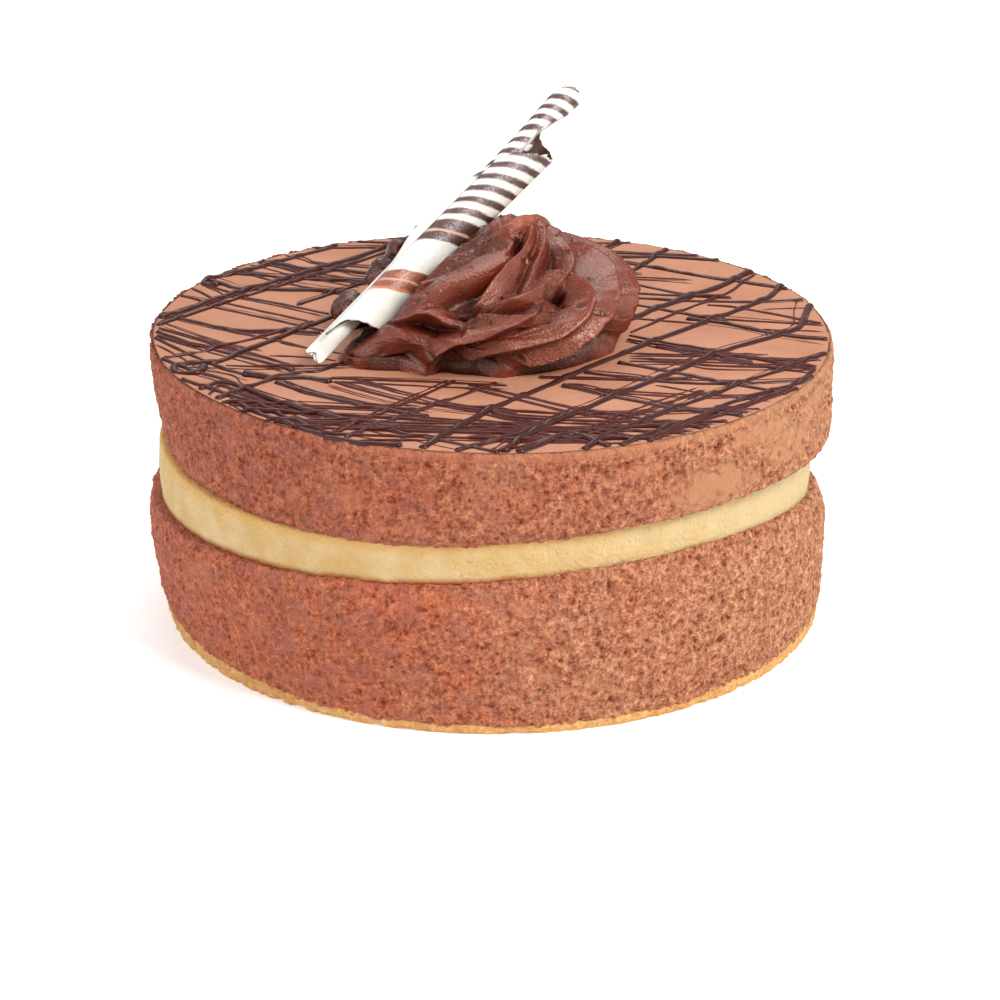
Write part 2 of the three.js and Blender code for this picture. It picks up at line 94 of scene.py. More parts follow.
def turn_from(bearing: Array, start: float) -> Array:
    """Gives the turn from one bearing to each of the others, from -180 to 180 degrees."""
    return (bearing - start + 180.0) % 360.0 - 180.0


def walked_along(line: Array) -> Array:
    """Gives how far along a line each of its places is."""
    return np.concatenate([[0.0], np.cumsum(np.linalg.norm(np.diff(line, axis=0), axis=1))])


def sideways(line: Array) -> Array:
    """Gives the direction to the left of a flat line at each of its places."""
    along = np.gradient(line, axis=0)
    side = np.stack([-along[:, 1], along[:, 0]], 1)
    return side / np.linalg.norm(side, axis=1, keepdims=True)


def in_a_row(values: Array) -> Array:
    """Places numbers along an axis, for noise that changes with them alone."""
    return np.stack([values, 0 * values, 0 * values], 1)


def perlin(points: Array, size: float | Sequence[float], seed: float) -> Array:
    """Smooth noise at each point.

    Args:
        points: Places in millimetres, one row each.
        size: Width of a lump of the noise in millimetres, or one width for each axis.
        seed: Shifts the noise, so that two of them differ.

    Returns:
        One value for each point, from about -1 to 1.
    """
    scaled = points / np.broadcast_to(np.asarray(size, float), (3,)) + seed * 17.31
    return np.array([noise.noise(place) for place in scaled.tolist()])


def pores(points: Array, size: float | Sequence[float], share: float, seed: float) -> Array:
    """Round hollows of many widths, scattered at random.

    Args:
        points: Places in millimetres, one row each.
        size: Mean distance between their centres in millimetres, or one for each axis.
        share: How many of the centres have a hollow.
        seed: Shifts them, so that two sets differ.

    Returns:
        The depth at each point, from 0 outside the hollows to 1 at the middle of the widest.
    """
    scaled = points / np.broadcast_to(np.asarray(size, float), (3,)) + seed * 17.31
    near = [noise.voronoi(place) for place in scaled.tolist()]
    distance = np.array([found[0][0] for found in near])
    centres = np.array([found[1][0] for found in near])
    chance = np.modf(np.abs(np.sin(centres @ (12.99, 78.23, 37.72)) * 437.58))[0]
    width = 0.55 * np.sqrt(np.clip(1.0 - chance / share, 0.0, 1.0)) + 1e-6
    return width / 0.55 * np.sqrt(np.clip(1.0 - (distance / width) ** 2, 0.0, 1.0))


@dataclass(frozen=True)
class Wave:
    """A size that rises and falls round the cake.

    Each term is an amplitude, the bearing of its crest and the number of crests.
    """

    mean: float
    terms: tuple[tuple[float, float, int], ...] = ()

    def __call__(self, bearing: Array) -> Array:
        """Gives the size at each bearing."""
        size = np.full(np.shape(bearing), self.mean)
        for amplitude, crest, count in self.terms:
            size = size + amplitude * np.cos(count * np.radians(bearing - crest))
        return size


RIM_RADIUS = Wave(75.4, ((1.8, 75, 1), (0.9, 3, 2), (0.9, 40, 3)))
UPPER_FOOT_RADIUS = Wave(75.2, ((1.4, 10, 1), (0.3, 90, 2)))
BAND_RADIUS = Wave(73.8, ((1.3, 204, 1), (0.2, -69, 2)))
SHOULDER_RADIUS = Wave(76.0, ((0.4, 63, 1), (0.9, 178, 1), (0.6, -7, 2), (0.3, 14, 3)))
FOOT_RADIUS = Wave(73.9, ((0.8, 37, 1), (0.7, 5, 2), (0.3, 17, 3)))
BASE_TOP = Wave(2.9, ((1.0, 10, 2),))
BAND_BOTTOM = Wave(31.0, ((3.6, -73, 1), (3.0, -69, 2), (1.2, -34, 3)))
BAND_TOP = Wave(43.6, ((1.2, -61, 1), (1.7, -50, 2), (0.6, -45, 3)))


def grid_sheet(bm: BMesh, columns: int, rows: int) -> tuple[list, Array, Array]:
    """Adds a flat grid to be bent into shape.

    Args:
        bm: The mesh that takes it.
        columns: Faces across.
        rows: Faces up.

    Returns:
        Its vertices, and for each its share across and its share up.
    """
    verts = bmesh.ops.create_grid(bm, x_segments=columns, y_segments=rows, size=0.5)["verts"]
    places = np.array([v.co for v in verts])
    return verts, places[:, 0] + 0.5, places[:, 1] + 0.5


def place_verts(verts: Sequence[BMVert], places: Array) -> None:
    """Moves each vertex to its place, one row each."""
    for vert, place in zip(verts, places):
        vert.co = place


def carry(bm: BMesh, numbers: dict[str, Array]) -> None:
    """Gives every vertex its numbers, for the finish to read.

    Args:
        bm: The mesh.
        numbers: A value for each of its vertices, by name.
    """
    for name, values in numbers.items():
        layer = bm.verts.layers.float.new(name)
        for vert, value in zip(bm.verts, values):
            vert[layer] = value


def finish_mesh(name: str, bm: BMesh, material: Material) -> Object:
    """Turns a mesh in millimetres into a smooth shaded piece in metres.

    Args:
        name: The piece's name.
        bm: Its mesh, which is freed.
        material: Its finish.

    Returns:
        The piece, which rides on the cake.
    """
    bmesh.ops.scale(bm, vec=(MM, MM, MM), verts=bm.verts)
    mesh = bpy.data.meshes.new(name)
    bm.to_mesh(mesh)
    bm.free()
    mesh.shade_smooth()
    mesh.materials.append(material)
    piece = bpy.data.objects.new(name, mesh)
    bpy.context.scene.collection.objects.link(piece)
    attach(piece, BODY)
    return piece


def loose_piece(name: str, bm: BMesh) -> Object:
    """Turns a mesh into a helper object, to be removed after its use.

    Args:
        name: The object's name.
        bm: Its mesh, which is freed.

    Returns:
        The object.
    """
    mesh = bpy.data.meshes.new(name)
    bm.to_mesh(mesh)
    bm.free()
    piece = bpy.data.objects.new(name, mesh)
    bpy.context.scene.collection.objects.link(piece)
    return piece


def sewn(bm: BMesh, gap: float = 1e-4) -> BMesh:
    """Joins a mesh where its edges meet, within a gap in millimetres, and turns its faces out."""
    bmesh.ops.remove_doubles(bm, verts=bm.verts, dist=gap)
    bmesh.ops.recalc_face_normals(bm, faces=bm.faces)
    return bm


def report(piece: Object) -> None:
    """Logs a finished piece and its size."""
    LOG.info("%s: %d faces", piece.name, len(piece.data.polygons))


# ---- finishes ----


def linear(hex_colour: str) -> tuple[float, float, float, float]:
    """Turns an sRGB hex colour into the linear values that shaders take.

    Args:
        hex_colour: The colour, as a hash and six digits.

    Returns:
        Its red, green, blue and alpha.
    """
    parts = [int(hex_colour[i:i + 2], 16) / 255 for i in (1, 3, 5)]
    bent = [p / 12.92 if p <= 0.04045 else ((p + 0.055) / 1.055) ** 2.4 for p in parts]
    return (*bent, 1.0)


def add_node(tree: NodeTree, kind: str, inputs: dict | None = None, **settings: object) -> Node:
    """Adds a node with its settings and links.

    Args:
        tree: The node tree that takes it.
        kind: Its type name.
        inputs: A value or another node's socket for each input, by its name or number.
        settings: Its own properties.

    Returns:
        The node.
    """
    node = tree.nodes.new(kind)
    for name, value in settings.items():
        setattr(node, name, value)
    for key, value in (inputs or {}).items():
        if isinstance(value, NodeSocket):
            tree.links.new(value, node.inputs[key])
        else:
            node.inputs[key].default_value = value
    return node


def per_mm(size: float) -> float:
    """Gives a texture's scale on Object coordinates for features of a size in millimetres."""
    return 1.0 / (size * MM)


class Shading:
    """A material while its nodes are put together, with small patterns and sums for it."""

    def __init__(self, name: str) -> None:
        """Starts a material, empty but for its Object coordinates.

        Args:
            name: Its name.
        """
        self.material = bpy.data.materials.new(name)
        self.material.use_nodes = True
        self.tree = self.material.node_tree
        self.tree.nodes.clear()
        self.where = add_node(self.tree, "ShaderNodeTexCoord").outputs["Object"]

    def attribute(self, name: str) -> NodeSocket:
        """Reads a number that the mesh carries."""
        return add_node(self.tree, "ShaderNodeAttribute", attribute_name=name).outputs["Fac"]

    def rightwards(self) -> NodeSocket:
        """Gives how far to the right each place is, in metres."""
        return add_node(self.tree, "ShaderNodeSeparateXYZ", {"Vector": self.where}).outputs["X"]

    def grain(
        self, size: float, detail: float = 2.0, low: float = 0.35, high: float = 0.65
    ) -> NodeSocket:
        """Adds cloudy noise, spread from 0 to 1.

        Args:
            size: Width of its lumps in millimetres.
            detail: How many finer octaves it has.
            low: The noise value that becomes 0.
            high: The noise value that becomes 1.

        Returns:
            The socket that gives it.
        """
        inputs = {"Vector": self.where, "Scale": per_mm(size), "Detail": detail}
        cloud = add_node(self.tree, "ShaderNodeTexNoise", inputs)
        return self.spread(cloud.outputs["Fac"], low, high)

    def spread(self, value: NodeSocket, low: float, high: float, most: float = 1.0) -> NodeSocket:
        """Spreads a number evenly.

        Args:
            value: The number.
            low: Its value that becomes 0.
            high: Its value that becomes the most.
            most: What it becomes there.

        Returns:
            The socket that gives it.
        """
        inputs = {"Value": value, "From Min": low, "From Max": high, "To Max": most}
        return add_node(self.tree, "ShaderNodeMapRange", inputs).outputs["Result"]

    def blend(self, share: NodeSocket | float, a: NodeSocket | str, b: NodeSocket | str) -> NodeSocket:
        """Mixes two colours.

        Args:
            share: How much of the second colour shows.
            a: The first colour, a hex value or a socket.
            b: The second one.

        Returns:
            The socket that gives the mixture.
        """
        a, b = (linear(colour) if isinstance(colour, str) else colour for colour in (a, b))
        node = add_node(self.tree, "ShaderNodeMix", {0: share, MIX_A: a, MIX_B: b}, data_type="RGBA")
        return node.outputs[MIX_RESULT]

    def ramp(self, share: NodeSocket, *stops: tuple[float, str]) -> NodeSocket:
        """Runs through colours.

        Args:
            share: The number that runs from 0 to 1.
            stops: Each colour, with its place from 0 to 1.

        Returns:
            The socket that gives the colour.
        """
        node = add_node(self.tree, "ShaderNodeValToRGB", {"Fac": share})
        points = node.color_ramp.elements
        while len(points) < len(stops):
            points.new(0.5)
        for point, (place, colour) in zip(points, stops):
            point.position = place
            point.color = linear(colour)
        return node.outputs["Color"]

    def math(self, operation: str, a: NodeSocket | float, b: NodeSocket | float) -> NodeSocket:
        """Works out one number from two."""
        return add_node(self.tree, "ShaderNodeMath", {0: a, 1: b}, operation=operation).outputs[0]

    def bumped(self, height: NodeSocket, depth: float) -> NodeSocket:
        """Turns a height pattern, from about 0 to 1, into a bump of a depth in millimetres."""
        inputs = {"Height": height, "Distance": depth * MM, "Strength": 1.0}
        return add_node(self.tree, "ShaderNodeBump", inputs).outputs["Normal"]

    def close(self, inputs: dict) -> Material:
        """Ends the material in a principled shader.

        Args:
            inputs: A value or a socket for each of the shader's inputs, by name.

        Returns:
            The material.
        """
        shader = add_node(self.tree, "ShaderNodeBsdfPrincipled", inputs)
        add_node(self.tree, "ShaderNodeOutputMaterial", {"Surface": shader.outputs["BSDF"]})
        return self.material


class Finish:
    """What every finish has: a name, and a way to make its material."""

    name: str

    def material(self) -> Material:
        """Makes the material."""
        raise NotImplementedError


@dataclass(frozen=True)
class AeratedMousse(Finish):
    """Chocolate mousse, whipped with cream and cut cold.

    The eye gets a matt crumb of burst bubbles, its voids painted dark red as shade and its crests
    painted light as a highlight, both following the bump. It is pinker and finer where it is damp at
    the left, and tan and lighter at the right, partly drier mousse and partly painted light from the
    right. The poured top and the smears of the knife are smooth and a little greyer.
    """

    name: str = "aerated_mousse"
    damp: tuple[str, str, str] = ("#702615", "#B66345", "#DE8F69")
    dried_and_lit: tuple[str, str, str] = ("#78371F", "#BC7D59", "#EAB286")
    damp_smear: str = "#A46049"
    dried_smear: str = "#9E7150"
    poured: str = "#B68167"
    steeped: str = "#A0694F"
    dull: str = "#AC6858"
    cloud_size: float = 13.0
    patch_size: float = 4.5
    crag_size: float = 1.7
    crumb_size: float = 0.8
    grain_size: float = 0.42
    relief_depth: float = 1.15
    roughness: float = 0.7

    def material(self) -> Material:
        """Makes the material.

        Returns:
            The material.
        """
        shade = Shading(self.name)
        cloud = shade.grain(self.cloud_size, 3.0, 0.3, 0.7)
        dried_and_lit = self.dryness_and_light(shade, cloud)
        crags = shade.grain(self.crag_size, 7.0, 0.3, 0.7)
        pattern = self.crumb(shade, crags)
        # Painted shade darkens the pits.
        shaded_pits = shade.math("MULTIPLY", shade.attribute("pit_shade"), 0.5)
        tone = shade.math("SUBTRACT", pattern, shaded_pits)
        soft = shade.math("ADD", shade.math("MULTIPLY", tone, 0.84), 0.08)
        # Each ramp runs from painted shade in the voids to a painted highlight on the crests.
        damp = shade.ramp(soft, *zip((0.12, 0.5, 0.88), self.damp))
        patch = shade.grain(self.patch_size, 3.0, 0.42, 0.68)
        damp = shade.blend(shade.math("MULTIPLY", patch, 0.7), damp, self.dull)
        dry = shade.ramp(tone, *zip((0.12, 0.5, 0.9), self.dried_and_lit))
        # Tan and lighter at the right: partly drier mousse, partly painted light from the right.
        colour = shade.blend(dried_and_lit, damp, dry)
        smooth = shade.attribute("smooth")
        smear = shade.blend(dried_and_lit, self.damp_smear, self.dried_smear)
        colour = shade.blend(smooth, colour, smear)
        top = shade.blend(shade.math("MULTIPLY", cloud, 0.6), self.poured, self.steeped)
        colour = shade.blend(shade.attribute("poured"), colour, top)
        rough = shade.math("MAXIMUM", shade.math("SUBTRACT", 1.0, smooth), 0.1)
        height = shade.math("ADD", pattern, shade.math("MULTIPLY", crags, 0.8))
        normal = shade.bumped(shade.math("MULTIPLY", height, rough), self.relief_depth)
        return shade.close({
            "Base Color": colour, "Roughness": self.roughness, "Normal": normal,
            "Specular IOR Level": 0.25, "Subsurface Weight": 0.05, "Subsurface Scale": 0.001,
        })

    def dryness_and_light(self, shade: Shading, cloud: NodeSocket) -> NodeSocket:
        """Works out how dry the mousse is from the left of the cake to the right, a share that also
        paints the light from the right.

        Args:
            shade: The material.
            cloud: The clouds that break up the change.

        Returns:
            The socket that gives it, from 0 to 1.
        """
        drift = shade.math("MULTIPLY", shade.rightwards(), 1 / (2 * CAKE_RADIUS * MM))
        drift = shade.math("ADD", drift, shade.math("MULTIPLY", cloud, 0.3))
        return shade.spread(drift, -0.05, 0.58)

    def crumb(self, shade: Shading, crags: NodeSocket) -> NodeSocket:
        """Adds up the crumb's three sizes of grain.

        Args:
            shade: The material.
            crags: The largest of the three.

        Returns:
            The socket that gives the pattern, from 0 to 1.
        """
        crumb = shade.grain(self.crumb_size, 3.0, 0.33, 0.67)
        fine = shade.grain(self.grain_size, 1.0, 0.3, 0.7)
        pattern = shade.math(
            "ADD", shade.math("MULTIPLY", crumb, 0.34), shade.math("MULTIPLY", fine, 0.2))
        return shade.math("ADD", pattern, shade.math("MULTIPLY", crags, 0.46))


@dataclass(frozen=True)
class SpongeCrumb(Finish):
    """A whisked vanilla sponge, cut through.

    The eye gets a fine, dry, pale yellow crumb, deeper yellow along its upper edge, browned where
    syrup has soaked in along the lower one, and paler and more airy towards the right.
    """

    name: str = "vanilla_sponge"
    crumb: str = "#C1A069"
    pale: str = "#C9AE82"
    airy: str = "#BDAA82"
    deep: str = "#C69650"
    damp: str = "#A0562B"
    cloud_size: float = 6.0
    pore_size: float = 0.8
    speck_size: float = 1.6
    relief_depth: float = 0.22
    airy_from: float = 5.0
    airy_to: float = 68.0
    roughness: float = 0.85

    def material(self) -> Material:
        """Makes the material.

        Returns:
            The material.
        """
        shade = Shading(self.name)
        cloud = shade.grain(self.cloud_size, 3.0, 0.35, 0.65)
        pores = shade.grain(self.pore_size, 3.0, 0.35, 0.7)
        colour = shade.blend(cloud, self.crumb, self.pale)
        colour = shade.blend(shade.attribute("upper"), colour, self.deep)
        colour = shade.blend(shade.attribute("damp"), colour, self.damp)
        airy = shade.spread(shade.rightwards(), self.airy_from * MM, self.airy_to * MM, 0.75)
        colour = shade.blend(airy, colour, self.airy)
        speck = shade.grain(self.speck_size, 1.0, 0.72, 0.8)
        colour = shade.blend(shade.math("MULTIPLY", speck, 0.4), colour, self.damp)
        normal = shade.bumped(pores, self.relief_depth)
        return shade.close({
            "Base Color": colour, "Roughness": self.roughness, "Normal": normal,
            "Specular IOR Level": 0.2, "Subsurface Weight": 0.1, "Subsurface Scale": 0.0015,
        })


@dataclass(frozen=True)
class BakedBase(Finish):
    """The sponge of the base, with its oven-baked skin.

    The eye gets a golden, ragged, crumbly strip with toasted grains.
    """

    name: str = "baked_base"
    golden: str = "#CB9654"
    pale: str = "#DDB27A"
    toasted: str = "#A25C28"
    cloud_size: float = 5.0
    grain_size: float = 1.1
    relief_depth: float = 0.35
    roughness: float = 0.85

    def material(self) -> Material:
        """Makes the material.

        Returns:
            The material.
        """
        shade = Shading(self.name)
        crumb = shade.grain(self.grain_size, 3.0, 0.35, 0.65)
        cloud = shade.grain(self.cloud_size, 2.0, 0.4, 0.65)
        colour = shade.blend(crumb, self.golden, self.pale)
        colour = shade.blend(shade.math("MULTIPLY", cloud, 0.35), colour, self.toasted)
        normal = shade.bumped(crumb, self.relief_depth)
        return shade.close({
            "Base Color": colour, "Roughness": self.roughness, "Normal": normal,
            "Specular IOR Level": 0.2,
        })


@dataclass(frozen=True)
class PipedFrosting(Finish):
    """Chocolate buttercream, piped soft and set at its skin.

    The eye gets a deep red-brown with a buttery sheen, painted shade darker and redder down in the
    folds, a painted highlight on the crests and towards the peak, and patches where the skin has torn
    into a fine sparkling grain, lightened further with painted sparkle.
    """

    name: str = "piped_frosting"
    # deep paints shade down in the folds and in the holes; crest paints a highlight on the crests.
    deep: str = "#2A0A05"
    body: str = "#5E1F10"
    warm: str = "#762D1A"
    crest: str = "#8F422A"
    # A lighter painted sparkle on the torn patches.
    painted_sparkle: str = "#9C5A45"
    cloud_size: float = 6.0
    glitter_size: float = 0.45
    streak_width: float = 0.625
    streak_length: float = 6.25
    relief_depth: float = 0.3
    roughness: float = 0.19

    def material(self) -> Material:
        """Makes the material.

        Returns:
            The material.
        """
        shade = Shading(self.name)
        cloud = shade.grain(self.cloud_size, 3.0, 0.35, 0.65)
        fine = shade.grain(self.glitter_size, 3.0, 0.3, 0.7)
        torn = shade.attribute("torn")
        combed = add_node(shade.tree, "ShaderNodeCombineXYZ", {
            "X": shade.math("MULTIPLY", shade.attribute("across"), 1 / self.streak_width),
            "Y": shade.math("MULTIPLY", shade.attribute("along"), 1 / self.streak_length),
        })
        streak = add_node(shade.tree, "ShaderNodeTexNoise", {
            "Vector": combed.outputs["Vector"], "Scale": 1.0, "Detail": 3.0, "Roughness": 0.6,
        }).outputs["Fac"]
        rise = shade.attribute("rise")
        # From painted shade deep in the folds to a painted highlight on the crests and towards the
        # peak.
        colour = shade.ramp(
            rise, (0.0, self.deep), (0.3, self.body), (0.7, self.warm), (1.0, self.crest))
        colour = shade.blend(shade.math("MULTIPLY", cloud, 0.3), colour, self.warm)
        # Torn patches are lightened with painted sparkle.
        colour = shade.blend(shade.math("MULTIPLY", torn, 0.4), colour, self.painted_sparkle)
        # Painted shade darkens the holes.
        pit_shade = shade.math("MULTIPLY", shade.attribute("pit_shade"), 0.85)
        colour = shade.blend(pit_shade, colour, self.deep)
        uneven = shade.math("ADD", shade.math("MULTIPLY", torn, 0.9), 0.25)
        height = shade.math("MULTIPLY", fine, uneven)
        height = shade.math("ADD", height, shade.math("MULTIPLY", streak, 0.6))
        normal = shade.bumped(height, self.relief_depth)
        rough = shade.math("ADD", shade.math("MULTIPLY", cloud, 0.14), self.roughness)
        rough = shade.math("SUBTRACT", rough, shade.math("MULTIPLY", torn, 0.1))
        return shade.close({
            "Base Color": colour, "Roughness": rough, "Normal": normal,
            "Specular IOR Level": 0.9, "Specular Tint": (1.0, 0.7, 0.58, 1.0),
        })


@dataclass(frozen=True)
class DrizzledChocolate(Finish):
    """Dark chocolate, run out thin and set.

    The eye gets near-black brown strands with a cool violet-grey sheen, redder where a strand is
    thin enough to let light through, and small bright glints on the humps.
    """

    name: str = "drizzled_chocolate"
    thick: str = "#38160F"
    thin: str = "#481710"
    ripple_size: float = 1.4
    ripple_depth: float = 0.06
    roughness: float = 0.34

    def material(self) -> Material:
        """Makes the material.

        Returns:
            The material.
        """
        shade = Shading(self.name)
        colour = shade.blend(shade.attribute("stoutness"), self.thin, self.thick)
        ripple = shade.grain(self.ripple_size, 2.0, 0.3, 0.7)
        normal = shade.bumped(ripple, self.ripple_depth)
        return shade.close({
            "Base Color": colour, "Roughness": self.roughness, "Normal": normal,
            "Specular IOR Level": 0.3, "Specular Tint": (1.0, 0.82, 0.84, 1.0), "Coat Weight": 0.08,
            "Coat Roughness": 0.1,
        })


@dataclass(frozen=True)
class StripedChocolate(Finish):
    """Tempered white chocolate with dark chocolate stripes, scraped into a roll.

    The eye gets a smooth ivory with a soft shine, brown stripes with silvery dust and a painted sheen
    down the middle of the roll, where it faces the front, a caramel-brown double band low down with
    the same painted sheen and a painted sheen line between its bands, and a dark brown inner face,
    partly its own colour and partly painted shade inside the roll. The mesh carries where each of them
    lies, because the stripes run slantwise round the sheet.
    """

    name: str = "striped_chocolate"
    ivory: str = "#DCDBD4"
    shaded: str = "#CFC9BC"
    dark: str = "#482A22"
    dust_and_sheen: str = "#A6979A"
    band: str = "#82432F"
    band_dust_and_sheen: str = "#D0A08E"
    orange_line_and_sheen: str = "#C0794F"
    # Partly the chocolate's own dark brown, partly painted shade inside the roll.
    lining_and_shade: str = "#3E190C"
    dust_size: float = 0.55
    cloud_size: float = 3.0
    scrape_size: float = 0.9
    scrape_depth: float = 0.035
    roughness: float = 0.42

    def material(self) -> Material:
        """Makes the material.

        Returns:
            The material.
        """
        shade = Shading(self.name)
        dusty = shade.grain(self.dust_size, 3.0, 0.3, 0.6)
        # Silvery dust, with a painted sheen down the middle of the roll.
        dust_and_sheen_share = shade.math("MULTIPLY", shade.attribute("dust_and_sheen"), dusty)
        dark = shade.blend(dust_and_sheen_share, self.dark, self.dust_and_sheen)
        band = shade.blend(dust_and_sheen_share, self.band, self.band_dust_and_sheen)
        cloud = shade.grain(self.cloud_size, 2.0, 0.4, 0.75)
        colour = shade.blend(shade.math("MULTIPLY", cloud, 0.35), self.ivory, self.shaded)
        colour = shade.blend(shade.attribute("stripe"), colour, dark)
        colour = shade.blend(shade.attribute("band"), colour, band)
        # Orange lines of the sheet, and one painted sheen line between the bands.
        colour = shade.blend(shade.attribute("orange_line_and_sheen"), colour, self.orange_line_and_sheen)
        colour = shade.blend(shade.attribute("lining_and_shade"), colour, self.lining_and_shade)
        normal = shade.bumped(shade.grain(self.scrape_size, 3.0), self.scrape_depth)
        return shade.close({
            "Base Color": colour, "Roughness": self.roughness, "Normal": normal,
            "Specular IOR Level": 0.35, "Subsurface Weight": 0.1, "Subsurface Scale": 0.0015,
        })


# ---- the layers ----


@dataclass(frozen=True)
class Course:
    """One level of a layer's side: its share of the height and its radius round the cake."""

    share: float
    radius: Callable[[Array], Array]


def inset(radius: Callable, depth: float) -> Callable[[Array], Array]:
    """Gives a radius drawn in by a depth."""
    return lambda bearing: radius(bearing) - depth


def shaved(radius: Callable, depth: float, more: float) -> Callable[[Array], Array]:
    """Gives a radius that is smaller all round by a depth, and by more on the right."""
    return lambda bearing: (
        radius(bearing) - depth - more * np.clip(np.cos(np.radians(bearing)), 0, 1) ** 3)


def between(a: Callable, b: Callable, share: float) -> Callable[[Array], Array]:
    """Gives a radius part of the way from a to b."""
    return lambda bearing: mix(a(bearing), b(bearing), share)


@dataclass(frozen=True)
class Skin:
    """The points of a layer's smooth skin.

    Each has its place in millimetres, its bearing, its shares of the layer's radius and height, its
    height above the layer's lower edge and its depth below the upper one.
    """

    places: Array
    bearing: Array
    reach: Array
    share: Array
    low: Array
    high: Array


@dataclass
class Layer:
    """A layer of the cake: one closed skin from the middle of its underside to that of its top.

    Its edges are rounded by edge_round, and its crumb turns to face up or down within edge_turn of
    them.
    """

    name: str
    node: str
    slot: str
    finish: Finish
    bottom: Callable[[Array], Array]
    top: Callable[[Array], Array]
    courses: tuple[Course, ...]
    side_rows: int
    underside_rings: int = 3
    top_rings: int = 3
    columns: int = 1000
    edge_round: float = 0.5
    edge_turn: float = 1.4

    def stations(self) -> tuple[Array, Array]:
        """Spaces the rows, from the middle of the underside up the side to that of the top.

        Returns:
            Each row's share of the radius, and its share of the height.
        """
        inwards = np.linspace(0.0, 1.0, self.underside_rings, endpoint=False)
        side = np.linspace(0.0, 1.0, self.side_rows + 1)
        outwards = 1.0 - np.linspace(0.0, 1.0, self.top_rings + 1)[1:] ** 2
        reach = np.concatenate([inwards, np.ones(side.size), outwards])
        share = np.concatenate([np.zeros(inwards.size), side, np.ones(outwards.size)])
        return reach, share

    def radius_at(self, bearing: Array, share: Array) -> Array:
        """Runs the side through its courses.

        Args:
            bearing: The bearing of each point.
            share: Its share of the height.

        Returns:
            The side's radius at each point.
        """
        radius = np.zeros_like(share)
        for low, high in zip(self.courses, self.courses[1:]):
            inside = (share >= low.share) & (share <= high.share)
            along = (share[inside] - low.share) / (high.share - low.share)
            radius[inside] = mix(low.radius(bearing[inside]), high.radius(bearing[inside]), along)
        return radius

    def relief(self, skin: Skin) -> tuple[Array, dict[str, Array]]:
        """Works out how far the crumb stands in or out, and what the finish reads.

        Args:
            skin: The layer's smooth skin.

        Returns:
            The relief in millimetres, and a number for each point by name.
        """
        return np.zeros(len(skin.places)), {}

    def build(self) -> Object:
        """Makes the layer.

        Returns:
            The piece.
        """
        reach, share = self.stations()
        bm = bmesh.new()
        verts, across, up = grid_sheet(bm, self.columns, reach.size - 1)
        row = np.rint(up * (reach.size - 1)).astype(int)
        bearing = 360.0 * across
        reach, share = reach[row], share[row]
        radius = self.radius_at(bearing, share) * reach
        bottom, top = self.bottom(bearing), self.top(bearing)
        bottom = mix(self.bottom.mean, bottom, radius / CAKE_RADIUS)
        top = mix(self.top.mean, top, radius / CAKE_RADIUS)
        height = mix(bottom, top, share)
        low, high = height - bottom, top - height
        rounding = self.edge_round * (1 - rounded(np.minimum(low, high) / self.edge_round))
        radius = np.where(reach == 1.0, radius - rounding, radius)
        out = np.stack([np.cos(np.radians(bearing)), np.sin(np.radians(bearing)), 0 * bearing], 1)
        places = out * radius[:, None]
        places[:, 2] = height
        skin = Skin(places, bearing, reach, share, low, high)
        push, numbers = self.relief(skin)
        push = push * smoothstep(radius, 0.9 * CAKE_RADIUS, 0.95 * CAKE_RADIUS)
        tip = 0.9 * (smoothstep(high, self.edge_turn, 0.0) - smoothstep(low, self.edge_turn, 0.0))
        places = places + out * (push * np.cos(tip))[:, None]
        places[:, 2] += push * np.sin(tip)
        places = self.top_relief(skin, places, numbers)
        place_verts(verts, places)
        carry(bm, numbers)
        bmesh.ops.remove_doubles(bm, verts=bm.verts, dist=1e-4)
        piece = finish_mesh(self.name, bm, self.finish.material())
        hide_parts(self.node)
        return piece

    def top_relief(self, skin: Skin, places: Array, numbers: dict[str, Array]) -> Array:
        """Finishes the skin after its relief, where a layer needs more.

        Args:
            skin: The layer's smooth skin.
            places: Its points after the relief.
            numbers: What the finish reads, which may be changed.

        Returns:
            The points, moved.
        """
        return places


@dataclass(frozen=True)
class Smear:
    """A patch of a mousse side that the knife has smoothed: its middle and its size.

    The middle is a bearing and a height, the size a width round the cake and a height.
    """

    bearing: float
    height: float
    width: float
    tallness: float
    strength: float = 0.9


SMEARS = (
    Smear(309, 52.0, 27, 10, 0.9), Smear(296, 58.0, 13, 4, 0.6), Smear(322, 59.5, 24, 6, 0.8),
    Smear(330, 54.0, 24, 9, 0.75), Smear(340, 59.0, 18, 6, 0.6),
    Smear(215, 24.0, 7, 9, 0.5), Smear(222, 57.0, 5, 6, 0.5), Smear(236, 50.0, 5, 5, 0.55),
    Smear(247, 52.0, 6, 6, 0.5), Smear(204, 46.0, 6, 4, 0.5), Smear(229, 18.0, 9, 7, 0.4),
    Smear(341, 50.0, 14, 5, 0.4), Smear(258, 47.0, 10, 4, 0.35),
)


@dataclass(frozen=True)
class Bubbles:
    """Burst bubbles of one size: spacing, how many, how deep, and how much painted shade darkens them.

    They are deeper at the right of the cake than at the left, and some sizes lie in clusters.
    """

    spacing: tuple[float, float, float]
    share: float
    left_depth: float
    right_depth: float
    shade: float
    clustered: bool = True


BUBBLES = (
    Bubbles((1.15, 1.15, 1.0), 0.75, 0.4, 0.55, 0.36, clustered=False),
    Bubbles((2.3, 2.3, 1.7), 0.42, 0.25, 0.55, 0.36),
    Bubbles((4.8, 4.8, 2.3), 0.24, 0.3, 0.6, 0.3),
)


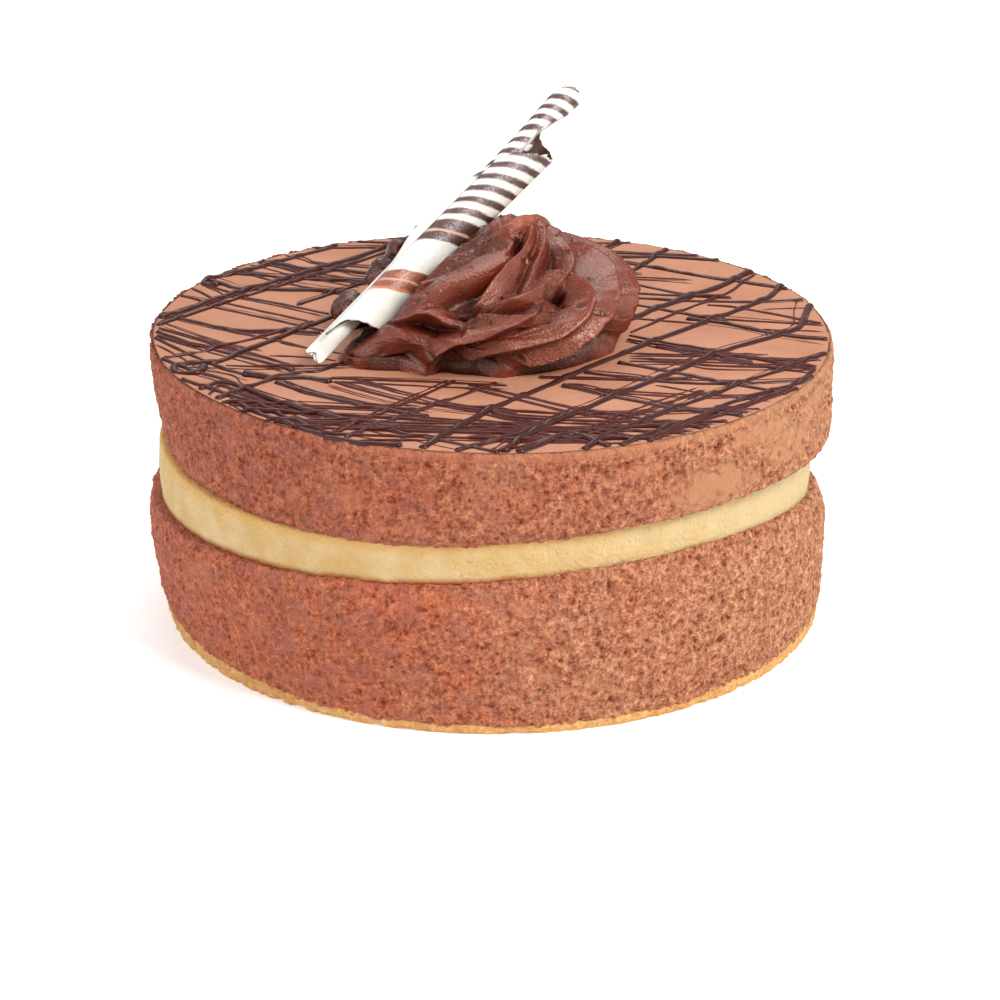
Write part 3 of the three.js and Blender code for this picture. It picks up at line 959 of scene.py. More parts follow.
@dataclass
class MousseLayer(Layer):
    """A layer of mousse, crumbly and full of burst bubbles."""

    seed: float = 1.0
    shows_top: bool = False
    band_below_rim: float = 0.0
    facet_share: float = 0.0
    outset: float = 0.2

    def smoothed(self, skin: Skin) -> Array:
        """Works out where the mousse is smooth: in the knife's smears, facets, and under the rim.

        Args:
            skin: The layer's smooth skin.

        Returns:
            How smooth each point is, from 0 to 1.
        """
        places, bearing = skin.places, skin.bearing
        ragged = 0.3 * perlin(places, 4.5, self.seed + 6) + 0.5 * perlin(places, 1.4, self.seed + 7)
        smooth = np.zeros(len(places))
        for smear in SMEARS:
            away = np.hypot(
                np.radians(turn_from(bearing, smear.bearing)) * CAKE_RADIUS / (0.5 * smear.width),
                (places[:, 2] - smear.height) / (0.5 * smear.tallness))
            smooth = np.maximum(smooth, smear.strength * smoothstep(away + ragged, 1.25, 0.45))
        if self.facet_share:
            facet = pores(places, (4.6, 4.6, 3.6), self.facet_share, self.seed + 20)
            smooth = np.maximum(smooth, 0.4 * smoothstep(facet, 0.15, 0.4))
        if self.band_below_rim:
            front = smoothstep(np.cos(np.radians(bearing - 312)), 0.15, 0.5)
            edge = self.band_below_rim * mix(-0.4, 1.0, front) + 1.2 * ragged
            smooth = np.maximum(smooth, 0.6 * smoothstep(skin.high, edge + 0.5, edge - 0.3))
        return smooth

    def relief(self, skin: Skin) -> tuple[Array, dict[str, Array]]:
        """Makes the crumb: lumps, crests and crevices, voids, and smooth smears.

        Args:
            skin: The layer's smooth skin.

        Returns:
            The relief in millimetres, the painted shade in the pits, and where the smooth places are.
        """
        places = skin.places
        right = smoothstep(places[:, 0], -45.0, 50.0)
        smooth = self.smoothed(skin)
        warp = np.stack([perlin(places, 1.6, self.seed + k) for k in (11, 12, 13)], 1)
        torn = places + 0.45 * warp
        clusters = smoothstep(perlin(places, 6.5, self.seed + 5), -0.35, 0.3)
        # The bubbles' hollows, and sparse pores in the smooth places, are darkened with painted shade.
        holes, pit_shade = np.zeros((2, len(places)))
        for number, bubbles in enumerate(BUBBLES):
            void = pores(torn, bubbles.spacing, bubbles.share, self.seed + 2 + number)
            void *= clusters if bubbles.clustered else 1.0
            holes += mix(bubbles.left_depth, bubbles.right_depth, right) * void
            pit_shade += bubbles.shade * void
        drag = perlin(places, (1.3, 1.3, 7.0), self.seed + 9) * (1 - right)
        push = 0.35 * perlin(places, 13.0, self.seed) + 0.28 * perlin(places, 4.0, self.seed + 1)
        crumb = 0.46 * perlin(places, 1.25, self.seed + 8) + 0.24 * drag
        sparse = pores(places, 2.0, 0.16, self.seed + 14)
        rough = (crumb - holes + 0.3) * (1 - smooth)
        push = self.outset + push * (1 - 0.6 * smooth) + rough - 0.3 * sparse * smooth
        fade = smoothstep(skin.high, 0.0, 0.5) if self.shows_top else 1.0
        pit_shade = np.clip(pit_shade * (1 - smooth) + 0.8 * sparse * smooth, 0, 1)
        return push * fade, {"pit_shade": pit_shade, "smooth": smooth * (1 - 0.6 * sparse)}

    def top_relief(self, skin: Skin, places: Array, numbers: dict[str, Array]) -> Array:
        """Makes the poured top smooth, with faint waves.

        Args:
            skin: The layer's smooth skin.
            places: Its points after the relief.
            numbers: What the finish reads, changed where the top is poured.

        Returns:
            The points, moved.
        """
        inner = smoothstep(skin.reach, 1.0, 0.995) * (skin.share == 1.0)
        if self.shows_top:
            places[:, 2] += 0.12 * inner * perlin(places, 16.0, self.seed + 8)
        numbers["smooth"] = np.maximum(numbers["smooth"], inner)
        numbers["pit_shade"] = numbers["pit_shade"] * (1 - inner)
        numbers["poured"] = inner
        return places


@dataclass
class SpongeLayer(Layer):
    """A layer of sponge, with a fine even crumb."""

    seed: float = 5.0
    roughness: float = 0.16
    damp_line: float = 2.1

    def relief(self, skin: Skin) -> tuple[Array, dict[str, Array]]:
        """Makes the fine crumb, damp below and deeper in colour above.

        Args:
            skin: The layer's smooth skin.

        Returns:
            The relief in millimetres, and where the damp and the deeper colour are.
        """
        places, low, high = skin.places, skin.low, skin.high
        push = 0.3 * perlin(places, 9.0, self.seed)
        push += self.roughness * perlin(places, 1.1, self.seed + 1)
        push += 0.6 * self.roughness * perlin(places, 2.6, self.seed + 2)
        wobble = 0.35 * perlin(places, 3.5, self.seed + 3)
        left = smoothstep(places[:, 0], 35.0, -5.0)
        damp = smoothstep(low + wobble, self.damp_line, 0.4) * mix(0.2, 0.95, left)
        upper = smoothstep(high + 2.0 * wobble, 3.0, 0.4) * 0.7
        fade = smoothstep(np.minimum(low, high), 0.0, 0.6)
        return push * fade, {"damp": damp, "upper": upper}


@dataclass
class BaseSponge(Layer):
    """The thin base of sponge, ragged where it was cut round."""

    seed: float = 9.0

    def relief(self, skin: Skin) -> tuple[Array, dict[str, Array]]:
        """Makes the torn crumb of the edge.

        Args:
            skin: The layer's smooth skin.

        Returns:
            The relief in millimetres, and nothing for the finish.
        """
        places = skin.places
        push = 0.3 + 0.3 * perlin(places, 2.2, self.seed) + 0.3 * perlin(places, 0.9, self.seed + 1)
        chips = smoothstep(perlin(places, 2.8, self.seed + 2), 0.25, 0.5)
        chips = chips * smoothstep(skin.low, 1.4, 0.0)
        return push - 0.5 * chips, {}

    def top_relief(self, skin: Skin, places: Array, numbers: dict[str, Array]) -> Array:
        """Keeps the crumbs of the lower edge above the surface that the cake stands on.

        Args:
            skin: The layer's smooth skin.
            places: Its points after the relief.
            numbers: What the finish reads.

        Returns:
            The points, moved.
        """
        places[:, 2] = np.maximum(places[:, 2], 0.0)
        return places


def flat(height: float) -> Wave:
    """Gives a level that is the same all round."""
    return Wave(height)


def sunk(level: Wave) -> Wave:
    """Gives a level a little lower, so that a layer is bedded in the one below."""
    return Wave(level.mean - BEDDING, level.terms)


def cake_layers() -> list[Layer]:
    """Lists the four layers.

    Returns:
        The layers, from the base up.
    """
    mousse = AeratedMousse()
    paler_mousse = AeratedMousse(
        name="paler_mousse", damp=("#7A2C18", "#C46A48", "#E8976E"),
        dried_and_lit=("#7E3C20", "#C18360", "#F0B98A"))
    return [
        BaseSponge(
            "base_sponge_crumb", "base_sponge", "base_sponge", BakedBase(), flat(0.0), BASE_TOP,
            (Course(0.0, inset(FOOT_RADIUS, 0.5)), Course(0.5, inset(FOOT_RADIUS, -0.1)),
             Course(1.0, inset(FOOT_RADIUS, 0.0))),
            side_rows=12, edge_round=0.3),
        MousseLayer(
            "lower_mousse_crumb", "lower_mousse", "mousse", paler_mousse, sunk(BASE_TOP), BAND_BOTTOM,
            (Course(0.0, FOOT_RADIUS), Course(0.14, between(FOOT_RADIUS, SHOULDER_RADIUS, 0.3)),
             Course(0.62, between(FOOT_RADIUS, SHOULDER_RADIUS, 0.9)),
             Course(0.84, shaved(SHOULDER_RADIUS, 0.0, 0.5)),
             Course(1.0, shaved(SHOULDER_RADIUS, 0.5, 1.9))),
            side_rows=64, columns=1400, seed=2.0, edge_round=0.3, facet_share=0.1),
        SpongeLayer(
            "middle_sponge_crumb", "middle_sponge", "sponge", SpongeCrumb(), sunk(BAND_BOTTOM),
            BAND_TOP,
            (Course(0.0, inset(BAND_RADIUS, 0.3)), Course(0.3, BAND_RADIUS), Course(0.7, BAND_RADIUS),
             Course(1.0, inset(BAND_RADIUS, 0.2))),
            side_rows=28, columns=800),
        MousseLayer(
            "upper_mousse_crumb", "upper_mousse", "mousse", mousse, sunk(BAND_TOP), flat(CAKE_HEIGHT),
            (Course(0.0, inset(UPPER_FOOT_RADIUS, 0.7)), Course(0.12, UPPER_FOOT_RADIUS),
             Course(0.42, between(UPPER_FOOT_RADIUS, RIM_RADIUS, 0.5)),
             Course(0.7, between(UPPER_FOOT_RADIUS, RIM_RADIUS, 0.9)), Course(1.0, RIM_RADIUS)),
            side_rows=46, top_rings=20, columns=1400, edge_round=0.4, seed=3.0, shows_top=True,
            band_below_rim=1.7),
    ]


# ---- the drizzle ----


class Pass(Enum):
    """Which of the two passes over the cake a strand belongs to."""

    CROSS = "cross"
    DIAGONAL = "diagonal"


@dataclass(frozen=True)
class Strand:
    """One strand: its width and the places on the top that it runs over, in millimetres."""

    width: float
    places: tuple[tuple[float, float], ...]


CROSS_STRANDS = (
    Strand(1.0, ((-46.5, 53.5), (-41, 49.5), (-20, 46), (10, 44), (36, 44))),
    Strand(1.9, ((-50.8, 48.8), (-45.8, 46.3), (-41, 45.8), (-35.8, 45), (-29.6, 42.9), (-8, 40))),
    Strand(1.2, ((-50.8, 46.7), (-45.8, 42.9), (-42, 40.4), (-29.2, 34.2))),
    Strand(1.2, ((-57.5, 41.7), (-51.7, 36.7), (-40.8, 30.8), (-30, 27))),
    Strand(1.9, ((-63.7, 34.2), (-59.6, 30.8), (-50.4, 30), (-40, 29.6), (-33.7, 27.5))),
    Strand(1.3, ((-65.4, 31.7), (-60, 26.7), (-57.5, 24.2), (-48.3, 19.6), (-36.7, 12.5))),
    Strand(1.2, ((-69.6, 30), (-63.7, 22.5), (-60.8, 19.6), (-41.2, 7.5))),
    Strand(1.3, ((-72, 25), (-66.2, 20.8), (-62.9, 16.7), (-44.2, 5.4), (-36, 0))),
    Strand(1.8, ((-72.9, 10.4), (-60.8, 2.5), (-54.2, 0.8), (-46.7, 1.3), (-38, -0.5))),
    Strand(1.1, ((-60.8, 2.5), (-57.5, -0.4), (-52.5, -2.9), (-42, -9))),
    Strand(0.8, ((-74.0, 5.4), (-60.8, -7.1), (-50, -13))),
    Strand(1.5, ((-74.5, -1), (-65.5, -9), (-59.5, -13.5), (-47.5, -21.5), (-42.5, -26))),
    Strand(1.1, ((-70.5, -1), (-58.5, -10), (-52.5, -14.5), (-46.5, -19.5), (-40.5, -23))),
    Strand(1.3, ((-74, -4), (-67.5, -8.5), (-61, -11.5))),
    Strand(1.4, ((-73.5, -6.5), (-68, -13.5), (-63, -19), (-57.5, -25), (-49.5, -30))),
    Strand(1.6, ((-69, -21.5), (-64.5, -26), (-57.5, -31), (-54.5, -35), (-46.5, -43), (-38.5, -50),
                 (-30.5, -56), (-25.5, -58.5), (-14, -64.5))),
    Strand(1.1, ((-58.5, -22), (-48.5, -22.8), (-30, -21))),
    Strand(1.0, ((-49.5, -15.5), (-40.5, -16.5), (-33.5, -18.5))),
    Strand(0.9, ((-47.5, -6.5), (-40.5, -10.5), (-32, -14))),
    Strand(2.4, ((-54, -27.5), (-47, -30), (-40, -29.5), (-34, -32))),
    Strand(1.9, ((-46.5, -32), (-39.5, -38.5), (-31.5, -43.5), (-24.5, -48), (-12.5, -53))),
    Strand(1.2, ((-35, -29.5), (-17.5, -31), (-8.5, -32), (4, -33.5))),
    Strand(1.2, ((-34, -31.5), (-24.5, -39), (-15, -44.5), (-2.5, -48), (6, -50))),
    Strand(1.0, ((-29.5, -30), (-17.5, -38.5), (-7.5, -45), (2.5, -49))),
    Strand(1.7, ((-60.5, -35), (-59, -33), (-55.5, -34), (-51.5, -38), (-46.5, -43.5), (-39, -50),
                 (-28, -56.5), (-18, -60))),
    Strand(1.5, ((-58, -38.5), (-51.5, -44), (-45.5, -50.5), (-41.5, -55.5), (-34, -62))),
    Strand(1.8, ((-55, -43.5), (-49.5, -50.5), (-45.5, -54.5), (-35.5, -63), (-27, -67.5),
                 (-17.5, -69.5))),
    Strand(1.2, ((-41.5, -46.5), (-30, -47.5), (-14, -48.5))),
    Strand(1.3, ((-45, -51), (-23.5, -53.5), (-4, -56))),
    Strand(1.3, ((-39.5, -55.5), (-12, -56.5), (14, -56))),
    Strand(1.2, ((-25.5, -57.5), (2.5, -59), (24, -58))),
    Strand(1.3, ((-22, -64), (0.5, -65), (20, -64.5))),
    Strand(1.2, ((-33, -60), (-12, -61.5), (8, -62))),
    Strand(1.2, ((36, -7.5), (50, -12), (70, -19.5))),
    Strand(1.0, ((30, -12), (48, -12.5), (62, -12))),
    Strand(0.8, ((54, -12.5), (61, -15.5), (71, -15.5))),
    Strand(1.1, ((30, -17), (42, -17.5), (50, -19.5), (70, -20.5))),
    Strand(1.0, ((50, -14.5), (61, -20.5), (69.5, -23.5))),
    Strand(1.7, ((27.5, -18), (40, -24), (49, -29.5), (59, -34.5))),
    Strand(1.5, ((20, -24.5), (29, -27.5), (40, -30.5), (52.5, -31), (66, -29))),
    Strand(1.4, ((10, -28), (30, -29), (44, -28))),
    Strand(1.9, ((15, -33), (20, -35.5), (26, -39.5), (33, -43), (40, -47), (50.5, -49.5))),
    Strand(0.9, ((21, -35), (43, -38), (54, -38))),
    Strand(0.9, ((35, -32), (49, -38.5), (52.5, -39.5))),
    Strand(1.3, ((-5, -33), (7, -40), (18.5, -47), (32, -52.5), (36.5, -54.5))),
    Strand(1.2, ((-5, -47), (15, -50), (26, -49.5), (40, -48))),
    Strand(1.4, ((0, -49.5), (7.5, -53), (30, -54.5), (44, -54))),
    Strand(1.2, ((-3.5, -54), (7.5, -57.5), (30, -60))),
    Strand(1.1, ((-5, -59), (20, -59.5), (31, -64))),
    Strand(1.1, ((-5, -65), (12, -66), (33, -64.5))),
    Strand(0.9, ((7.5, -60.5), (20, -67))),
    Strand(1.9, ((-12, 57), (10, 58.5), (30.8, 57.1), (40, 57.6), (45, 56.7))),
    Strand(1.6, ((18, 57), (31.7, 52.5), (39.2, 48.8), (46.3, 44.6), (53.3, 40.8), (56.7, 40),
                 (65.0, 35.8))),
    Strand(0.8, ((20, 43), (32.9, 42.1), (48.3, 40))),
    Strand(1.4, ((22, 43), (33.7, 36.2), (44.2, 29.6), (52, 27))),
    Strand(1.4, ((28, 31), (33.7, 29.6), (44.2, 28.3), (56, 27))),
    Strand(1.6, ((28, 27), (33.7, 26.2), (45.4, 24.6), (60.8, 24.2), (71.2, 25.8))),
    Strand(1.2, ((49.2, 22), (56.7, 20), (72.5, 11.2))),
    Strand(0.8, ((61.7, 19.2), (72.5, 20.4))),
    Strand(1.5, ((30, 22.5), (33.7, 21.2), (37, 19.6), (44.2, 15.4), (49.2, 12.5), (54, 10))),
    Strand(1.0, ((46, 13), (52, 12), (70, 9.2))),
    Strand(1.0, ((30, 12.5), (33.3, 11.7), (46.2, 8.8))),
    Strand(1.9, ((44, 12), (50.8, 10), (56.7, 6.7), (62.9, 2.5), (69.6, -0.4), (74, -1.2))),
    Strand(0.8, ((59.2, 5), (72, 4.2))),
    Strand(1.2, ((30.5, 0.4), (48.3, -9.6), (62, -17))),
    Strand(1.2, ((30.0, -2.2), (44.2, -9.6), (58, -18))),
    Strand(1.7, ((-62, 42), (-40, 37.5), (-16, 36.5), (8, 36.5), (33, 35))),
    Strand(1.5, ((-40, 62), (-18, 63), (8, 62), (26, 60.5))),
    Strand(1.3, ((-30, 67), (-6, 65.5), (22, 67.5))),
    Strand(1.1, ((-24, 70), (0, 68.5), (16, 71))),
)

DIAGONAL_STRANDS = (
    Strand(2.1, ((-63.5, 33.2), (-66.5, 33.2), (-67.8, 35.6), (-65, 39), (-60, 42.5), (-50, 52),
                 (-37.5, 63.8))),
    Strand(2.1, ((-73.3, 11.3), (-62, 24.5), (-50, 37), (-38, 49), (-27.5, 61.3), (-20, 71))),
    Strand(1.6, ((-71.5, 8.5), (-60, 22), (-48.2, 34.5), (-36, 47), (-25.5, 59.5), (-16, 71))),
    Strand(2.2, ((-62.5, -22.5), (-63.5, -27), (-68, -27), (-69, -23), (-65.5, -21), (-60, -20),
                 (-54, -12), (-44, 1), (-37, 10), (-24, 27), (-8, 48), (10, 71))),
    Strand(1.1, ((-71, -17.5), (-61.5, -12), (-60, -10), (-48, 0), (-40, 7))),
    Strand(1.7, ((-52.5, -36.5), (-47.5, -31), (-41, -26), (-37.5, -25), (-30.5, -17.5),
                 (-27.5, -15))),
    Strand(1.1, ((-32.5, -63.5), (-20, -47.5), (-7.5, -30.5))),
    Strand(1.2, ((-29.5, -65), (-14, -48), (1.5, -31.5))),
    Strand(2.2, ((-13, -69.5), (-5, -56.5), (0.5, -47.5), (12, -33.5), (20, -23), (33, -7.5),
                 (37.9, -1.7), (50.8, 12.1), (62.9, 25.8), (67.1, 34.2))),
    Strand(1.5, ((-3.5, -70), (2, -66), (8, -60.5), (15, -52.5))),
    Strand(2.2, ((3, -72), (7, -64), (11.5, -58), (15, -53.5), (27, -38.5), (36, -28.5),
                 (50.5, -11), (63.3, 0), (69.6, 6.7), (72.4, 18.3))),
    Strand(2.1, ((9, -69.5), (12.5, -66), (17, -62.5), (20, -64.5), (22.5, -67))),
    Strand(1.8, ((22, -67), (26, -61.5), (33, -53), (38.5, -47), (48, -37.5), (55, -29.5),
                 (64.5, -21), (73.5, -11.5))),
    Strand(0.8, ((17, -62.5), (23, -58.5), (30, -50.5), (47, -34))),
    Strand(1.8, ((31, -64), (37.5, -57.5), (45, -52.5), (49, -45), (55, -39.5), (62.5, -33.5),
                 (67.5, -29.5), (70, -25))),
    Strand(1.5, ((33.5, -65), (42, -56), (50.5, -48.5), (58.5, -40.5), (66, -33.5))),
    Strand(1.3, ((37, -60.5), (46, -50), (56, -42), (63, -35), (71, -21))),
    Strand(2.7, ((24, 3), (33.8, 13.8), (37, 18.3), (43.3, 24.6), (47, 29.2), (52.5, 34.2),
                 (59.6, 44.6))),
    Strand(1.2, ((31.2, 1.8), (42, 15.8), (54.2, 29.6), (60.8, 42.5))),
    Strand(1.9, ((22, 32), (33, 46.3), (40.4, 60.4))),
    Strand(1.6, ((-15, 38), (0, 55), (15, 71))),
    Strand(2.0, ((5, 33), (17, 49), (29, 67))),
    Strand(1.4, ((-45, 19), (-28, 38), (-12, 56), (-2, 72))),
)


@dataclass
class Drizzle:
    """Chocolate drizzled over the top in two passes, the second riding over the first."""

    step: float = 0.7
    sides: int = 10
    thin_sides: int = 6
    thin_width: float = 0.8
    crown: float = 0.62
    sink: float = 0.22
    tremor: float = 0.22
    map_step: float = 0.25
    map_margin: float = 5.0
    rim_margin: float = 0.3
    rim_reach: float = 12.0
    slimmer: float = 0.82
    drape: float = 0.8
    stout_width: float = 2.0
    cross_threads: float = 0.95
    diagonal_threads: float = 0.3
    threads_elsewhere: float = 0.35
    threads_each: int = 2
    threaded_length: float = 22.0
    front_line: float = -36.0
    thread_gap: tuple[float, float] = (0.9, 2.6)
    thread_wander: float = 0.8
    thread_width: tuple[float, float] = (0.5, 0.9)
    heights: Array = field(init=False)

    def __post_init__(self) -> None:
        """Clears the map of how high the chocolate already lies."""
        size = int(2 * (CAKE_RADIUS + self.map_margin) / self.map_step)
        self.heights = np.zeros((size, size))

    def line(self, strand: Strand, seed: float) -> Array:
        """Draws a strand's line through its places, with a slight tremor.

        Args:
            strand: The strand.
            seed: Sets its tremor.

        Returns:
            Evenly spaced places on the top, one row each.
        """
        places = self.run_out(np.array(strand.places, float))
        places = self.run_out(places[::-1])[::-1]
        padded = np.vstack([2 * places[0] - places[1], places, 2 * places[-1] - places[-2]])
        drawn = []
        for a, b, c, d in zip(padded, padded[1:], padded[2:], padded[3:]):
            steps = max(2, int(np.linalg.norm(c - b) / (0.5 * self.step)))
            for t in np.linspace(0, 1, steps, endpoint=False):
                drawn.append(0.5 * (2 * b + (c - a) * t + (2 * a - 5 * b + 4 * c - d) * t ** 2
                                    + (3 * b - a - 3 * c + d) * t ** 3))
        drawn = np.array(drawn + [places[-1]])
        walked = walked_along(drawn)
        even = np.linspace(0, walked[-1], max(4, int(walked[-1] / self.step)))
        line = np.stack([np.interp(even, walked, drawn[:, k]) for k in (0, 1)], 1)
        shake = np.stack([perlin(in_a_row(even), 5.0, seed + k) for k in (0, 9)], 1)
        line = line + self.tremor * shake
        bearing = np.degrees(np.arctan2(line[:, 1], line[:, 0]))
        return line[np.hypot(*line.T) < RIM_RADIUS(bearing) - self.rim_margin]

    def run_out(self, places: Array) -> Array:
        """Carries a strand on over the rim, where it ends near the rim and heading for it.

        Args:
            places: The places that it runs through.

        Returns:
            The same, with one more beyond the rim if it runs over.
        """
        end = places[-1]
        heading = end - places[-2]
        heading = heading / np.linalg.norm(heading)
        gap = RIM_RADIUS(np.degrees(math.atan2(end[1], end[0]))) - np.hypot(*end)
        if 0 < gap < self.rim_reach and heading @ end > 0.25 * np.hypot(*end):
            return np.vstack([places, end + heading * 2.0 * self.rim_reach])
        return places

    def threads(self, strands: Sequence[Strand], seed: int, at_front: float) -> list[Strand]:
        """Makes the thin threads that ran beside the strands, most of them along the front.

        Args:
            strands: The strands that they follow.
            seed: Sets where they lie.
            at_front: The chance of each thread along the front.

        Returns:
            The threads.
        """
        chance = random.Random(seed)
        threads = []
        for strand in strands:
            places = np.array(strand.places, float)
            if np.linalg.norm(places[-1] - places[0]) < self.threaded_length:
                continue
            in_front = places[:, 1].mean() < self.front_line
            for _ in range(self.threads_each):
                if chance.random() > (at_front if in_front else self.threads_elsewhere):
                    continue
                offset = chance.choice((-1, 1)) * chance.uniform(*self.thread_gap)
                wander = [chance.uniform(-self.thread_wander, self.thread_wander) for _ in places]
                beside = places + (offset + np.array(wander))[:, None] * sideways(places)
                width = chance.uniform(*self.thread_width)
                threads.append(Strand(width, tuple(map(tuple, beside.tolist()))))
        return threads

    def cells(self, places: Array) -> tuple[Array, Array]:
        """Finds places on the height map.

        Args:
            places: The places on the top.

        Returns:
            The row and the column of the cell that holds each.
        """
        cell = np.rint((places + CAKE_RADIUS + self.map_margin) / self.map_step).astype(int)
        cell = np.clip(cell, 0, self.heights.shape[0] - 1)
        return cell[:, 0], cell[:, 1]

    def ride_height(self, line: Array, width: float) -> Array:
        """Works out how far a strand is lifted by what already lies under it.

        Args:
            line: The strand's line.
            width: Its width.

        Returns:
            The lift at each place on the line.
        """
        side = sideways(line)
        lift = np.max([self.heights[self.cells(line + offset * width * side)]
                       for offset in (-0.25, 0.0, 0.25)], axis=0)
        reach = max(1, int(0.5 * width / self.step))
        lift = np.array([lift[max(0, i - reach):i + reach + 1].max() for i in range(lift.size)])
        kernel = np.hanning(2 * reach + 3)
        padded = np.pad(lift, reach + 1, mode="edge")
        return self.drape * np.convolve(padded, kernel / kernel.sum(), mode="valid")

    def stamp(self, line: Array, width: Array, top: Array) -> None:
        """Marks a laid strand on the height map.

        Args:
            line: The strand's line.
            width: Its width at each place.
            top: The height of its crown at each place.
        """
        side = sideways(line)
        for offset in np.linspace(-0.5, 0.5, 9):
            cells = self.cells(line + (offset * width)[:, None] * side)
            np.maximum.at(self.heights, cells, top * math.sqrt(1 - (1.8 * offset) ** 2))

    def lay(self, bm: BMesh, strand: Strand, seed: float) -> None:
        """Adds one strand, lying on the cake and on the strands below it.

        Args:
            bm: The mesh that takes it.
            strand: The strand.
            seed: Sets its tremor and where it is stouter.
        """
        line = self.line(strand, seed)
        if len(line) < 4:
            return
        walked = walked_along(line)
        spread = perlin(in_a_row(walked), 3.5, seed + 3)
        ends = np.minimum(walked, walked[-1] - walked)
        stout = smoothstep(strand.width, self.thin_width, 1.6)
        width = self.slimmer * strand.width * (
            1 + 0.16 * spread + (0.7 * stout - 0.4) * smoothstep(ends, 3.0, 0.5))
        lift = self.ride_height(line, strand.width)
        crown = self.crown * width * math.sqrt(1.2 / max(strand.width, 0.7))
        closing = rounded(ends / (0.5 * width))
        sides = self.sides if strand.width > self.thin_width else self.thin_sides
        verts, across, up = grid_sheet(bm, sides, len(line) - 1)
        row = np.rint(up * (len(line) - 1)).astype(int)
        turn = 2 * np.pi * across
        out = 0.5 * width[row] * closing[row] * np.cos(turn)
        rise = np.sin(turn)
        rise = np.where(rise > 0, rise * crown[row], rise * 0.4 * crown[row]) * closing[row]
        bearing = np.degrees(np.arctan2(line[row, 1], line[row, 0]))
        over_rim = np.hypot(*line[row].T) - RIM_RADIUS(bearing) + 1.0
        drop = 1.0 - np.sqrt(1 - np.clip(over_rim, 0, 0.95) ** 2)
        places = np.empty((len(verts), 3))
        places[:, :2] = line[row] + out[:, None] * sideways(line)[row]
        places[:, 2] = CAKE_HEIGHT - self.sink - drop + lift[row] + rise
        place_verts(verts, places)
        layer = bm.verts.layers.float["stoutness"]
        stoutness = float(smoothstep(strand.width, self.thin_width, self.stout_width))
        for vert in verts:
            vert[layer] = stoutness
        self.stamp(line, width, lift + crown - self.sink)

    def build(self) -> list[Object]:
        """Lays both passes.

        Returns:
            A piece for each.
        """
        material = DrizzledChocolate().material()
        pieces = []
        passes = ((Pass.CROSS, CROSS_STRANDS, self.cross_threads),
                  (Pass.DIAGONAL, DIAGONAL_STRANDS, self.diagonal_threads))
        for which, strands, at_front in passes:
            bm = bmesh.new()
            bm.verts.layers.float.new("stoutness")
            strands = (*self.threads(strands, len(strands), at_front), *strands)
            for number, strand in enumerate(strands):
                self.lay(bm, strand, number + 0.37)
            piece = finish_mesh(f"drizzle_{which.value}", sewn(bm), material)
            pieces.append(piece)
        return pieces


# ---- the scroll ----


def stripe_between(along: Array, low: float, high: float, soft: float = 0.22) -> Array:
    """Marks what lies between two places.

    Args:
        along: Each point's place.
        low: The nearer end.
        high: The farther end.
        soft: The width of its soft edges.

    Returns:
        1 between the ends and 0 outside them.
    """
    return smoothstep(along, low - 0.5 * soft, low + 0.5 * soft) * smoothstep(
        along, high + 0.5 * soft, high - 0.5 * soft)


